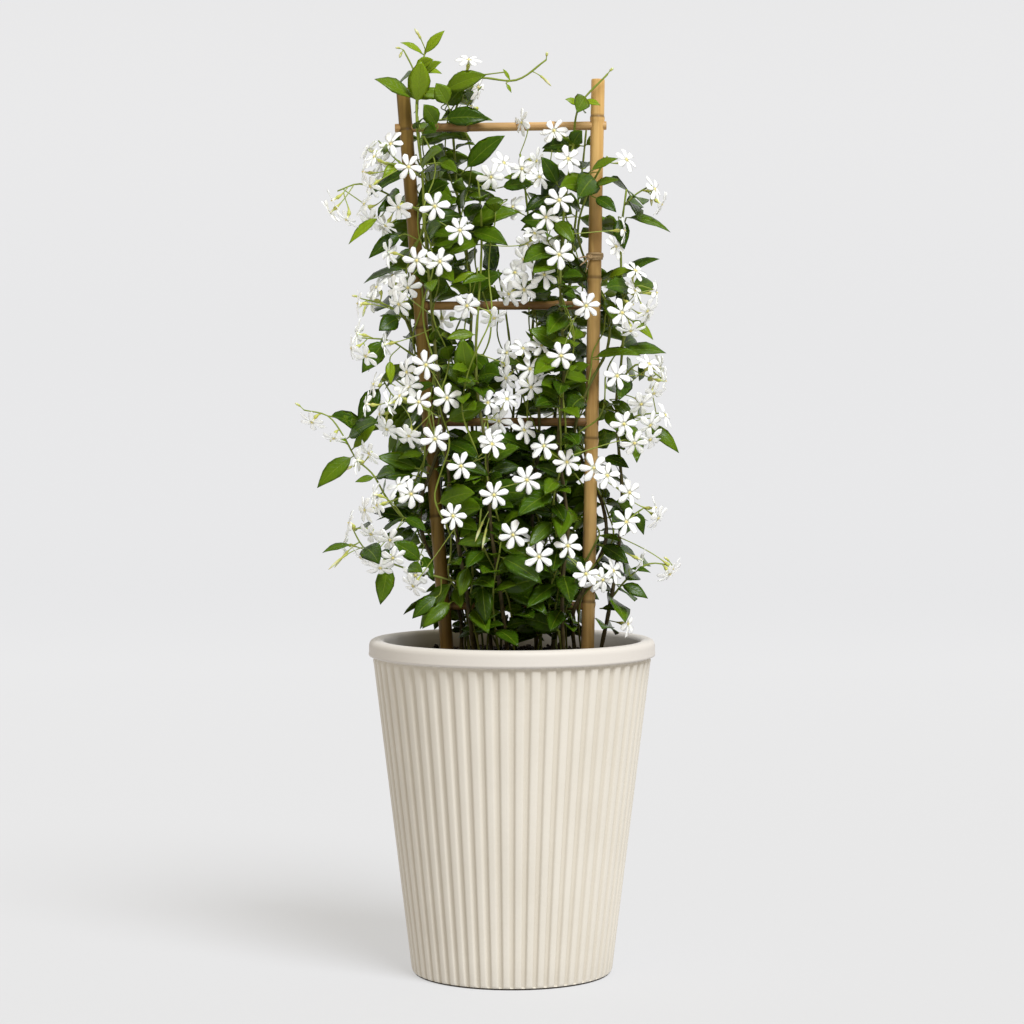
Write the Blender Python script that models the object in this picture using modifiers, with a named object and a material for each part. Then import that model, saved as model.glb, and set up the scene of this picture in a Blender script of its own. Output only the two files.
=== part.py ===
"""A potted star jasmine on a bamboo ladder trellis, in metres.

+Z is up and the front faces -Y. The origin is the middle of the pot's foot.
Places on the plant are millimetres read off the front view: x across, z up, and y behind the trellis.
"""

import math
from collections import namedtuple

import bmesh
import bpy
import numpy as np
from mathutils import Vector
from mathutils.bvhtree import BVHTree

# Pot
POT_HEIGHT = 0.3355
FOOT_RADIUS = 0.1005
CREST_RADIUS = 0.1395
RIM_RADIUS = 0.1432
RIM_INNER_RADIUS = 0.128
RIM_HEIGHT = 0.0165
RIM_ROLL = 0.0055
RIM_SEGMENTS = 40
RIBS = 56
RIB_DEPTH = 0.0026
RIB_CREST_SHARE = 0.45
WALL = 0.011
FLOOR_THICKNESS = 0.014
DRAIN_RADIUS = 0.006
DRAIN_RING_RADIUS = 0.055
DRAINS = 3
DRAIN_SIDES = 12

# Soil
SOIL_TOP = 0.317
SOIL_LUMP = 0.003
SOIL_DIP = 0.012
SOIL_RINGS = 3
SOIL_SEGMENTS = 26
FIT_GAP = 0.0003

# Trellis: where each upright meets the soil, and its top
POLE_RADIUS = 0.0067
POLE_SIDES = 8
POLE_HOLE_SIDES = 10
POLE_TIP_HEIGHT = 0.16
LEFT_POLE = ((-65.5, 325, 0), (-108.7, 880, 0))
RIGHT_POLE = ((75.9, 325, 0), (85.6, 889, 0))
LEFT_NODES = (452, 640, 837)
RIGHT_NODES = (366, 530, 690, 850)
NODE_SWELL = 0.0006
NODE_HALF = 0.004
RUNG_RADIUS = 0.0043
RUNG_SIDES = 6
RUNGS = (
    ((-116.5, 840.5, 0), (94, 843, 0)),
    ((-97, 664, 0), (88.5, 664.5, 0)),
    ((-90, 548, 0), (86.5, 548, 0)),
    ((-75, 364, 0), (82.5, 364, 0)),
)
TIE_HEIGHT = 0.7175
TIE_WIRE = 0.0011
TIE_START = -0.62 * math.pi
TIE_TURN = 1.72 * math.pi
TIE_POINTS = 10
TIE_RISE = 0.0003
TIE_TAIL = ((-0.006, -0.003, -0.004), (-0.010, -0.004, -0.010))

# The front view was read from this far away and this high, with its zero this far above the pot's foot
VIEW_DISTANCE = 2.95
EYE_HEIGHT = 0.5895
VIEW_FOOT = 4.5

# Plant
SEED = 11
STEM_STEP = 0.042
STEM_SIDES = 4
SHOOT_STEP = 0.026
FINE_STEP = 0.004
STEM_BASE_RADIUS = 0.0023
STEM_TIP_RADIUS = 0.0010
SHOOT_RADIUS = 0.0012
SHOOT_TIP_RADIUS = 0.0007
STALK_RADIUS = 0.0007
STEM_GAP = 0.0022
ROOT_DEPTH = 28
TEST_GAP = 0.0003
KEEL = 0.0016
SHORT_TWIG = 0.006
BUD_RADIUS = 0.0016
TUBE_RADIUS = 0.0013
TUBE_LENGTH = 0.0020
LEAF_ROWS = (0.34, 0.70)
INTERNODE = 0.145
LEAF_LENGTH = 0.050
LEAF_WIDTH = 0.48
LEAF_SIZES = (0.82, 1.15)
LEAF_LIFT = (-0.35, 0.6)
LEAF_DROOP = 0.25
SMALLER_ABOVE = 0.8045
MOST_DEPTH = 0.112
POLE_CLEAR = 11
TWINES = {
    "vine_left_twine": (LEFT_POLE, 2.4, -0.6, 318, 842),
    "vine_right_twine": (RIGHT_POLE, 2.6, 2.4, 318, 838),
}
TWINE_RADIUS = 0.0175
VINES = {
    "vine_left_front": (
        (-38, 312, -30), (-46, 380, -42), (-58, 450, -40), (-66, 520, -44), (-74, 590, -38),
        (-80, 660, -40), (-86, 730, -36), (-90, 800, -30), (-96, 860, -22), (-90, 900, -12), (-86, 918, -6),
    ),
    "vine_left_inner": (
        (-20, 312, -6), (-26, 364, 14), (-36, 470, 14), (-40, 548, 16), (-44, 600, -8), (-40, 664, -18),
        (-44, 710, -10), (-54, 770, 8), (-58, 842, 14), (-54, 866, 8), (-46, 884, 2), (-29, 890, 0),
        (3, 888, -4), (22, 887, -4), (34, 908, -4),
    ),
    "vine_left_back": (
        (-34, 312, 34), (-60, 420, 52), (-78, 520, 58), (-90, 620, 50), (-84, 720, 54), (-90, 800, 44),
        (-94, 852, 30),
    ),
    "vine_middle_front": (
        (-4, 312, -34), (-12, 380, -52), (-22, 450, -54), (-26, 520, -50), (-36, 590, -46), (-34, 660, -40),
        (-30, 730, -34), (-34, 790, -26),
    ),
    "vine_middle_back": (
        (4, 312, 30), (-2, 400, 48), (-10, 480, 54), (2, 560, 50), (-4, 640, 44), (-14, 700, 40),
    ),
    "vine_right_front": (
        (52, 312, -30), (50, 380, -46), (56, 450, -44), (46, 520, -48), (52, 600, -42), (48, 680, -40),
        (52, 760, -36), (60, 815, -26), (62, 848, -20), (68, 864, -14), (85, 884, -16), (95, 894, -14),
    ),
    "vine_right_inner": (
        (24, 312, -4), (24, 364, -14), (20, 460, -10), (28, 548, -14), (18, 610, -6), (22, 664, 14),
        (18, 730, 10), (12, 790, 4), (8, 815, 0),
    ),
    "vine_right_back": (
        (40, 312, 34), (48, 420, 54), (40, 520, 60), (52, 620, 52), (60, 720, 54), (70, 800, 40),
        (74, 840, 30),
    ),
    "vine_right_outer": (
        (88, 312, -20), (104, 400, -24), (110, 480, -20), (104, 560, -14), (112, 640, -14), (108, 720, -16),
        (114, 780, -10),
    ),
}
# Side shoots: the vine that each leaves, then its places
SHOOTS = (
    ("vine_left_twine", (-97, 642, -16), (-128, 667, -18), (-150, 671, -18)),
    ("vine_left_twine", (-97, 604, -18), (-124, 630, -24), (-150, 632, -26)),
    ("vine_left_twine", (-100, 558, -14), (-117, 572, -16), (-130, 592, -14)),
    ("vine_left_twine", (-104, 760, -12), (-130, 778, -14), (-160, 786, -16), (-174, 778, -16)),
    ("vine_left_front", (-90, 790, -30), (-110, 806, -24), (-125, 815, -14), (-133, 828, -8)),
    ("vine_left_twine", (-80, 425, -30), (-117, 460, -44), (-142, 500, -40), (-157, 513, -36),
     (-172, 540, -34), (-187, 556, -34), (-208, 560, -34)),
    ("vine_left_front", (-60, 383, -42), (-114, 404, -50), (-152, 425, -44), (-161, 444, -42)),
    ("vine_left_front", (-92, 885, -14), (-101, 905, -14), (-108, 918, -14)),
    ("vine_left_inner", (-52, 868, 6), (-47, 888, 12), (-45, 900, 14)),
    ("vine_left_back", (-80, 560, 56), (-102, 580, 82), (-116, 590, 98)),
    ("vine_right_outer", (98, 370, -22), (123, 398, -24), (150, 410, -24), (161, 404, -24)),
    ("vine_right_outer", (108, 442, -24), (120, 454, -28), (132, 462, -30)),
    ("vine_right_outer", (106, 590, -14), (120, 604, -20), (138, 605, -20), (149, 592, -20)),
    ("vine_right_outer", (112, 765, -10), (125, 776, -12), (139, 784, -12)),
    ("vine_right_outer", (110, 672, -16), (125, 684, -18), (141, 680, -18)),
    ("vine_right_outer", (105, 545, -16), (130, 556, -20), (150, 557, -20)),
    ("vine_right_outer", (110, 728, -16), (111, 744, -22), (114, 752, -22)),
    ("vine_right_back", (50, 650, 54), (78, 662, 82), (92, 668, 98)),
    ("vine_middle_back", (-6, 500, 54), (-22, 512, 82), (-30, 520, 98)),
)
# Leaves that show: foot and tip, each across, up and deep, then width and how far the face turns to the front
SHOWN_LEAVES = (
    (-98, 868, -22, -137, 889, -30, 22, 0.5), (-92, 864, -22, -91, 908, -34, 24, 0.9),
    (-88, 913, -8, -67, 937, -12, 11, 0.8), (-88, 915, -8, -111, 925, -8, 9, 0.5),
    (-90, 893, -12, -70, 906, -26, 13, 0.6), (-72, 875, 4, -29, 893, -8, 19, 0.4),
    (-70, 862, 6, -45, 876, -10, 15, 0.6), (-64, 846, 0, -19, 848, -16, 19, 0.5),
    (-74, 842, -26, -88, 864, -42, 19, 0.9), (-48, 798, -14, -7, 833, -26, 23, 0.75),
    (-72, 806, -30, -54, 796, -48, 14, 0.7), (-45, 742, -20, 8, 757, -24, 25, 0.6),
    (-42, 738, -30, -4, 724, -52, 22, 0.7), (-132, 752, -18, -163, 725, -24, 12, 0.6),
    (-109, 735, -16, -143, 711, -30, 17, 0.7), (-104, 770, -14, -134, 757, -34, 18, 0.7),
    (-112, 806, -10, -129, 790, -22, 12, 0.7), (68, 864, -14, 53, 869, -18, 8, 0.7),
    (72, 867, -14, 88, 863, -20, 8, 0.7), (-2, 888, -2, -9, 899, -2, 4, 0.8),
    (-2, 888, -2, 3, 879, -4, 4, 0.8), (56, 822, -26, 70, 838, -38, 17, 0.9),
    (46, 783, -30, 29, 812, -44, 18, 0.8), (22, 786, 0, -9, 791, -14, 13, 0.7),
    (80, 800, -20, 109, 813, -28, 14, 0.5), (78, 780, -20, 107, 789, -30, 14, 0.5),
    (114, 752, -22, 158, 737, -26, 18, 0.4), (106, 752, -18, 112, 720, -28, 18, 0.9),
    (82, 772, -20, 104, 757, -34, 16, 0.7), (36, 773, -20, 13, 757, -30, 15, 0.7),
    (42, 748, -36, 62, 726, -50, 20, 0.7), (78, 687, -20, 118, 704, -28, 16, 0.5),
    (88, 680, -22, 112, 689, -34, 13, 0.6), (92, 672, -20, 105, 645, -30, 14, 0.8),
    (80, 612, -20, 129, 614, -28, 19, 0.45), (118, 650, -16, 141, 630, -20, 12, 0.6),
    (30, 668, -20, 58, 677, -40, 19, 0.6), (56, 620, -40, 16, 640, -52, 23, 0.7),
    (50, 570, -42, 8, 584, -50, 23, 0.7), (98, 570, -16, 123, 550, -24, 14, 0.7),
    (133, 546, -20, 167, 517, -24, 17, 0.6), (94, 560, -20, 106, 538, -34, 15, 0.8),
    (90, 512, -24, 117, 502, -36, 16, 0.6), (106, 535, -18, 129, 520, -30, 13, 0.7),
    (88, 425, -24, 117, 406, -38, 18, 0.7), (88, 434, -20, 109, 428, -36, 10, 0.5),
    (106, 387, -24, 134, 373, -28, 15, 0.6), (88, 362, -20, 113, 359, -36, 12, 0.5),
    (118, 401, -24, 139, 397, -30, 9, 0.4), (122, 460, -28, 132, 435, -32, 11, 0.8),
    (-112, 652, -18, -133, 639, -32, 20, 0.85), (-124, 628, -24, -150, 597, -30, 23, 0.85),
    (-122, 610, -22, -121, 585, -28, 11, 0.6), (-131, 584, -16, -154, 546, -22, 21, 0.8),
    (-157, 518, -36, -136, 545, -44, 13, 0.6), (-160, 526, -36, -175, 528, -40, 8, 0.5),
    (-160, 514, -36, -195, 482, -42, 20, 0.75), (-92, 500, -28, -136, 513, -42, 20, 0.7),
    (-96, 494, -28, -130, 492, -48, 18, 0.7), (-136, 490, -40, -157, 488, -46, 9, 0.6),
    (-50, 672, -30, -6, 694, -36, 24, 0.75), (-44, 588, -44, -50, 632, -58, 25, 0.95),
    (-34, 582, -40, -12, 609, -52, 16, 0.8), (-28, 510, -48, 8, 523, -62, 18, 0.7),
    (-160, 425, -44, -190, 417, -48, 12, 0.4), (-122, 402, -50, -132, 365, -54, 20, 0.85),
    (-90, 408, -46, -119, 428, -60, 20, 0.75), (-92, 418, -34, -82, 394, -56, 14, 0.8),
    (-74, 374, -44, -100, 351, -54, 18, 0.8), (-60, 368, -44, -90, 341, -60, 18, 0.85),
    (-30, 386, -52, -26, 345, -68, 20, 0.95), (-44, 404, -46, -52, 372, -62, 17, 0.9),
)
# Pale green buds: foot and tip, across, up and deep
BUDS = (
    (-86, 918, -6, -97, 939, -8), (-108, 918, -14, -112, 910, -16), (-108, 918, -14, -116, 920, -14),
    (-150, 671, -18, -160, 674, -18), (-146, 670, -18, -153, 662, -18), (-142, 669, -18, -149, 653, -20),
    (-208, 560, -34, -217, 567, -34), (-200, 560, -34, -210, 549, -34), (-192, 558, -34, -196, 543, -34),
    (-174, 542, -34, -182, 528, -36), (-150, 506, -38, -167, 500, -40), (-152, 424, -44, -178, 402, -46),
    (-148, 424, -44, -184, 400, -48), (-32, 460, -54, -37, 428, -64), (-30, 455, -54, -30, 420, -64),
    (34, 908, -4, 35, 916, -4), (22, 887, -4, 39, 882, -6), (139, 784, -12, 139, 763, -12),
    (149, 592, -20, 139, 578, -20), (120, 604, -20, 124, 582, -22), (161, 404, -24, 152, 413, -24),
    (112, 470, -22, 112, 441, -26), (95, 894, -14, 101, 900, -14),
)
# Sprays of open flowers: across, up and deep, turn to the right of the front, lift, petals
SPRAYS = (
    ((-103, 802, -62, 0, 5, 6), (-137, 812, -30, -55, 35, 6), (-148, 797, -26, -80, 10, 6),
     (-141, 783, -40, -50, -30, 6)),
    ((-179, 769, -24, -85, -25, 6), (-165, 750, -26, -60, -55, 6)),
    ((-113, 762, -64, -25, -30, 6), (-77, 763, -68, 5, 0, 6), (-52, 739, -72, 10, 5, 7)),
    ((-21, 792, -52, 20, -20, 6), (-8, 806, -28, 40, 30, 6)),
    ((-45, 905, 14, 10, 60, 6), (-36, 878, 10, 60, -10, 6)),
    ((-95, 709, -64, -15, 0, 6), (-72, 708, -68, 5, 0, 6), (-117, 681, -40, -50, -10, 6)),
    ((-160, 622, -40, -80, -10, 6), (-146, 614, -50, -40, -40, 6)),
    ((-86, 605, -62, 0, 0, 6), (-105, 598, -48, -45, -10, 6), (-65, 572, -70, 5, 0, 6)),
    ((-93, 568, -64, -30, 20, 6), (-112, 574, -48, -60, 30, 6), (-77, 531, -68, 0, 0, 6),
     (-103, 533, -54, -30, -35, 6)),
    ((-45, 664, -62, 0, -15, 6), (-18, 652, -50, 20, -50, 6)),
    ((-51, 504, -76, 0, 5, 6), (-20, 526, -70, 25, 25, 6)),
    ((-200, 548, -36, -40, -50, 6),),
    ((-132, 556, -34, -70, 0, 6), (-125, 541, -44, -40, -40, 6)),
    ((-101, 476, -74, 5, -5, 6), (-113, 484, -58, -35, 35, 6), (-135, 465, -56, -60, -10, 6)),
    ((-163, 447, -46, -80, 15, 6), (-141, 436, -62, -30, -45, 6)),
    ((-141, 409, -54, -30, -50, 6), (-152, 414, -40, -70, -45, 6)),
    ((-59, 454, -78, 0, 5, 7), (-99, 384, -62, -40, -40, 6)),
    ((-18, 475, -82, 5, 0, 7), (15, 490, -80, 0, 5, 7)),
    ((1, 435, -84, -5, 0, 6), (27, 413, -86, 5, -5, 6), (20, 430, -60, 30, 50, 6)),
    ((10, 800, -22, -30, 20, 6), (41, 836, 20, 0, 40, 6), (56, 810, -46, 20, 10, 6)),
    ((15, 725, -34, -30, 10, 6), (34, 752, -56, -10, 25, 6), (47, 769, -66, 5, 5, 6),
     (47, 715, -70, 0, 0, 6)),
    ((3, 697, -36, -20, 20, 6), (12, 680, -48, 10, -10, 6), (-3, 676, -34, -40, -25, 6),
     (32, 695, -52, 20, 15, 6)),
    ((-5, 617, -30, -40, 20, 6), (-6, 592, -36, -30, -25, 6), (18, 601, -50, 0, 20, 6),
     (19, 583, -60, 20, -30, 6)),
    ((-13, 549, -38, -20, -5, 6), (-5, 571, -44, 10, 40, 6)),
    ((114, 809, -22, 40, 25, 6),),
    ((142, 780, -18, 60, 20, 6), (149, 765, -24, 80, -30, 6)),
    ((74, 664, -70, 5, -5, 7), (49, 614, -72, 0, 0, 6)),
    ((144, 677, -26, 75, 5, 6), (110, 657, -50, 20, 5, 6), (135, 659, -40, 50, -35, 6),
     (123, 699, -36, 40, 40, 6)),
    ((153, 589, -26, 85, -5, 6), (137, 606, -34, 40, 45, 6), (105, 594, -48, 10, 10, 6)),
    ((153, 555, -28, 70, 20, 6), (138, 545, -42, 40, -30, 6), (112, 546, -50, 10, 0, 6)),
    ((55, 508, -74, 0, 5, 7), (82, 502, -60, 10, 0, 6), (32, 524, -66, -25, 30, 6)),
    ((93, 493, -62, 20, 15, 6), (115, 476, -48, 30, 0, 6), (141, 461, -34, 80, 10, 6)),
    ((56, 424, -78, 0, 10, 6), (74, 396, -74, 5, 0, 6), (91, 390, -60, 30, -20, 6)),
    ((162, 400, -26, 75, -40, 6),),
    ((-60, 700, 84, 170, 10, 6), (-84, 680, 80, 200, 0, 6), (-70, 650, 86, 180, -10, 6)),
    ((62, 704, 92, 180, 10, 6), (88, 690, 96, 160, 0, 6), (100, 652, 90, 140, -20, 6)),
    ((-20, 540, 92, 180, 0, 6), (10, 520, 94, 175, 10, 6), (44, 560, 90, 170, 20, 6)),
    ((-110, 560, 96, 210, 10, 6), (-90, 520, 92, 190, -10, 6)),
)
FLOWER_RADIUS = 0.0152
PETAL = 0.0008
PETAL_SHARE = 0.23
NOTCH_SHARE = 0.30
BLUNT_BEYOND = -0.96
# The plant's outline from the front: height, left edge, inner edges of the two columns, right edge
OUTLINE = (
    (330, -100, 0, 0, 118), (380, -132, 0, 0, 134), (430, -170, 0, 0, 146), (520, -165, 0, 0, 160),
    (600, -152, -4, 0, 160), (680, -150, -16, 2, 152), (760, -150, -10, 0, 150), (815, -135, -20, 6, 112),
    (870, -128, -28, 40, 96), (930, -105, -60, 60, 90),
)

Leaf = namedtuple("Leaf", "foot bend tip face width root", defaults=(None,))
Flower = namedtuple("Flower", "centre axis radius petals spin stalk")
Tube = namedtuple("Tube", "line start end")


def unit(vector):
    """The vector at length 1."""
    return vector / np.linalg.norm(vector)


def place(x, z, y):
    """The point that the front view shows x across and z up, in millimetres, and that lies y deep."""
    nearer = 1 + y / 1000 / VIEW_DISTANCE
    height = (z + VIEW_FOOT) / 1000
    return np.array((x / 1000 * nearer, y / 1000, EYE_HEIGHT + (height - EYE_HEIGHT) * nearer))


def curve_through(points, step):
    """Points about step apart on the Catmull-Rom curve through the given ones."""
    points = np.asarray(points, float)
    ends = np.vstack((2 * points[0] - points[1], points, 2 * points[-1] - points[-2]))
    share = np.linspace(0, 1, 12, endpoint=False)[:, None]
    runs = []
    for a, b, c, d in zip(ends, ends[1:], ends[2:], ends[3:]):
        runs.append(0.5 * (2 * b + (c - a) * share + (2 * a - 5 * b + 4 * c - d) * share**2
                           + (3 * b - a - 3 * c + d) * share**3))
    return spaced(np.vstack((*runs, points[-1:])), step)


def spaced(line, step):
    """Points about step apart along a line's straight runs."""
    along = np.concatenate(([0], np.cumsum(np.linalg.norm(np.diff(line, axis=0), axis=1))))
    stops = np.linspace(0, along[-1], max(3, round(along[-1] / step) + 1))
    return np.stack([np.interp(stops, along, line[:, k]) for k in range(3)], axis=1)


def frames(line, side=None):
    """Two directions across a line at each of its points, carried along without twist."""
    heading = np.gradient(line, axis=0)
    heading /= np.linalg.norm(heading, axis=1)[:, None]
    across = np.zeros_like(line)
    if side is None:
        side = np.array((1.0, 0, 0)) if abs(heading[0][0]) < 0.8 else np.array((0, 1.0, 0))
    for i, ahead in enumerate(heading):
        side = unit(side - ahead * (side @ ahead))
        across[i] = side
    return across, np.cross(heading, across)


def tube(line, start, end, sides=4, grow=0.0):
    """Points and faces of a closed tube along a line, from the start radius to the end radius."""
    line = np.asarray(line, float)
    across, up = frames(line)
    angle = np.arange(sides) * 2 * math.pi / sides
    radius = np.linspace(start, end, len(line))[:, None, None] + grow
    ring = across[:, None] * np.cos(angle)[:, None] + up[:, None] * np.sin(angle)[:, None]
    points = (line[:, None] + ring * radius).reshape(-1, 3)
    faces = [tuple(range(sides))[::-1], tuple(range(len(points) - sides, len(points)))]
    for row in range(len(line) - 1):
        for k in range(sides):
            a, b = row * sides + k, row * sides + (k + 1) % sides
            faces.append((a, b, b + sides, a + sides))
    return points, faces


def leaf_at(leaf, share):
    """Place, heading, side and face direction of a leaf's midrib at a share of its length."""
    foot, bend, tip = leaf.foot, leaf.bend, leaf.tip
    at = (1 - share) ** 2 * foot + 2 * share * (1 - share) * bend + share**2 * tip
    heading = unit((1 - share) * (bend - foot) + share * (tip - bend))
    side = unit(np.cross(heading, leaf.face))
    return at, side, np.cross(side, heading)


def blade_width(share):
    """Share of a leaf's full width at a share of its length: an oval with a drawn-out tip."""
    return math.sin(math.pi * share**0.82) ** 0.85


def squared(heading, side, face):
    """The side and face directions nearest to the given ones that lie across a heading."""
    if abs(heading @ side) < 0.75:
        side = unit(side - heading * (heading @ side))
        return side, np.cross(side, heading)
    face = unit(face - heading * (heading @ face))
    return np.cross(heading, face), face


def blade(leaf, grow=0.0):
    """Points and faces of a leaf: a three-sided stalk, two wide rows with a keel below, and a tip."""
    at, side, face = leaf_at(leaf, 0.0)
    corners = ((-1, 0.5), (1, 0.5), (0, -0.5))
    rows = [(at, side, face, STALK_RADIUS, STALK_RADIUS * 2)]
    if leaf.root is not None:
        run, heading = unit(leaf.foot - leaf.root), np.cross(face, side)
        rows = [(leaf.root, *squared(run, side, face), STALK_RADIUS, STALK_RADIUS * 2),
                (at, *squared(unit(run + heading), side, face), STALK_RADIUS, STALK_RADIUS * 2)]
    for share in LEAF_ROWS:
        at, side, face = leaf_at(leaf, share)
        rows.append((at, side, face, leaf.width / 2 * blade_width(share), KEEL))
    points = []
    for at, side, face, half, thick in rows:
        points += [at + side * (half + grow) * a + face * (thick + 2 * grow) * b for a, b in corners]
    points.append(leaf.tip + unit(leaf.tip - leaf.bend) * grow)
    faces = [(0, 2, 1)]
    for row in range(len(rows) - 1):
        for k in range(3):
            a, b = 3 * row + k, 3 * row + (k + 1) % 3
            faces += [(a, b, b + 3), (a, b + 3, a + 3)]
    last = 3 * (len(rows) - 1)
    faces += [(last + k, last + (k + 1) % 3, last + 3) for k in range(3)]
    return points, faces


def flower_axes(flower):
    """Two directions across a flower's axis."""
    up = np.array((0, 0, 1.0)) if abs(flower.axis[2]) < 0.9 else np.array((0, 1.0, 0))
    across = unit(np.cross(up, flower.axis))
    return across, np.cross(flower.axis, across)


def star(flower, grow=0.0):
    """Points and faces of an open flower on its stalk.

    Each petal is a notch and an end, blunt on the flowers that face the front. The stalk is three sided, runs
    back from the flower's middle, and its first ring is zipped to the petals' back.
    """
    across, up = flower_axes(flower)
    turn = 2 * math.pi / flower.petals
    thick = flower.axis * (PETAL / 2 + grow)
    blunt = flower.axis[1] < BLUNT_BEYOND
    ends = (-PETAL_SHARE, PETAL_SHARE) if blunt else (0.0,)
    points = [flower.centre + flower.axis * (PETAL / 2 + grow)]
    faces, rim = [], []
    for k in range(flower.petals):
        for share, reach in ((-0.5, NOTCH_SHARE), *((end, 1.0) for end in ends)):
            angle = flower.spin + (k + share) * turn
            out = across * math.cos(angle) + up * math.sin(angle)
            at = flower.centre + out * (flower.radius * reach + grow)
            rim.append(len(points) + (share != -0.5))
            points += [at] if share == -0.5 else [at + thick, at - thick]
    step = 1 + 2 * len(ends)
    count = step * flower.petals
    for k in range(flower.petals):
        notch, following = 1 + step * k, 1 + (step * k + step) % count
        first, last = notch + 1, notch + step - 2
        faces += [(0, notch, first), (notch, first + 1, first)]
        faces += [(0, last, following), (last, last + 1, following)]
        if blunt:
            faces += [(0, first, last), (first, first + 1, last + 1), (first, last + 1, last)]
    line = flower.stalk[::-1]
    across, up = frames(line, across)
    angle = flower.spin - np.arange(3) * 2 * math.pi / 3
    radius = np.linspace(TUBE_RADIUS, STALK_RADIUS, len(line))[:, None, None] + grow
    ring = across[:, None] * np.cos(angle)[:, None] - up[:, None] * np.sin(angle)[:, None]
    base = len(points)
    points += list((line[:, None] + ring * radius).reshape(-1, 3))
    inner = [base, base + 2, base + 1]
    i = j = 0
    while i < len(rim) or j < 3:
        if j == 3 or (i < len(rim) and (i + 0.5) / len(rim) < (j + 0.5) / 3):
            faces.append((rim[(i + 1) % len(rim)], rim[i], inner[j % 3]))
            i += 1
        else:
            faces.append((rim[i % len(rim)], inner[j], inner[(j + 1) % 3]))
            j += 1
    for row in range(len(line) - 1):
        for k in range(3):
            a, b = base + row * 3 + k, base + row * 3 + (k + 1) % 3
            faces += [(a, b, b + 3), (a, b + 3, a + 3)]
    faces.append(tuple(range(len(points) - 3, len(points))))
    return points, faces


def bud(foot, tip, grow=0.0):
    """Points and faces of a slim three-sided bud that swells towards its end."""
    line = np.array((foot, foot + (tip - foot) * 0.72))
    points, faces = tube(line, STALK_RADIUS, BUD_RADIUS, 3, grow)
    points = [*points, tip]
    return points, [faces[0], *faces[2:], (3, 4, 6), (4, 5, 6), (5, 3, 6)]


class Taken:
    """The space that placed pieces fill, each with the name of its node."""

    def __init__(self):
        self.low = np.zeros((0, 3))
        self.high = np.zeros((0, 3))
        self.trees = []
        self.owners = []

    def add(self, owner, points, faces):
        points = np.asarray(points)
        self.low = np.vstack((self.low, points.min(0)))
        self.high = np.vstack((self.high, points.max(0)))
        self.trees.append(BVHTree.FromPolygons([tuple(p) for p in points], faces))
        self.owners.append(owner)

    def crosses(self, points, faces, but=()):
        """Whether a shape crosses any piece that isn't owned by one of the named nodes."""
        points = np.asarray(points)
        near = np.all((self.low <= points.max(0)) & (self.high >= points.min(0)), axis=1)
        tree = None
        for k in np.flatnonzero(near):
            if self.owners[k] in but:
                continue
            tree = tree or BVHTree.FromPolygons([tuple(p) for p in points], faces)
            if tree.overlap(self.trees[k]):
                return True
        return False


def pushed_clear(line, radius, others):
    """The line with each point moved straight away from any other line that it runs too near."""
    line = line.copy()
    for _ in range(6):
        for other, other_radius in others:
            a, b = other[:-1], other[1:]
            ab = b - a
            share = np.einsum("ijk,jk->ij", line[:, None] - a, ab) / np.einsum("jk,jk->j", ab, ab)
            nearest = a + np.clip(share, 0, 1)[..., None] * ab
            gap = np.linalg.norm(line[:, None] - nearest, axis=2)
            best = gap.argmin(1)
            distance = gap[np.arange(len(line)), best]
            need = radius + other_radius + STEM_GAP
            away = line - nearest[np.arange(len(line)), best]
            away /= np.maximum(distance, 1e-6)[:, None]
            line += away * np.maximum(need - distance, 0)[:, None]
    return line


def pole_line(pole):
    """A pole's centre line from its buried tip to its top."""
    low, high = (place(*end) for end in pole)
    slope = (high - low) / (high[2] - low[2])
    return np.array((low + slope * (POLE_TIP_HEIGHT - low[2]), high))


def rung_line(rung):
    """A rung's centre line from its left end to its right end."""
    return np.array([place(*end) for end in rung])


def twine_line(pole, turns, phase, low, high):
    """A stem that winds round a pole: the pole's own line plus a circle that turns as it climbs."""
    axis = pole_line(pole)
    heights = (np.linspace(low, high, 60) + VIEW_FOOT) / 1000
    centre = axis[0] + (axis[1] - axis[0]) * ((heights - axis[0][2]) / (axis[1][2] - axis[0][2]))[:, None]
    angle = phase + np.linspace(0, 2 * math.pi * turns, len(heights))
    ring = np.stack((np.cos(angle), np.sin(angle), np.zeros_like(angle)), axis=1)
    return curve_through(centre[::4] + ring[::4] * TWINE_RADIUS, STEM_STEP)


def grow_stems():
    """Every vine's stem and side shoots, bent clear of the trellis and of each other."""
    hard = [(pole_line(pole), POLE_RADIUS) for pole in (LEFT_POLE, RIGHT_POLE)]
    hard += [(rung_line(rung), RUNG_RADIUS) for rung in RUNGS]
    stems = {}
    routes = {name: twine_line(*twine) for name, twine in TWINES.items()}
    routes.update({name: [place(*p) for p in points] for name, points in VINES.items()})
    for name, route in routes.items():
        line = curve_through(route, STEM_STEP)
        line = np.vstack((line[0] - (0, 0, ROOT_DEPTH / 1000), line))
        line[1:] = pushed_clear(line[1:], STEM_BASE_RADIUS, hard)
        stems[name] = [Tube(line, STEM_BASE_RADIUS, STEM_TIP_RADIUS)]
        hard.append((line, STEM_BASE_RADIUS))
    for name, *points in SHOOTS:
        main = stems[name][0].line
        route = [place(*p) for p in points]
        dense = spaced(main, FINE_STEP)
        route[0] = dense[np.linalg.norm(dense - route[0], axis=1).argmin()]
        line = curve_through(route, SHOOT_STEP)
        others = [(other, size) for other, size in hard if other is not main]
        line[1:] = pushed_clear(line[1:], SHOOT_RADIUS, others)
        stems[name].append(Tube(line, SHOOT_RADIUS, SHOOT_TIP_RADIUS))
        hard.append((line, SHOOT_RADIUS))
    return stems


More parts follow.
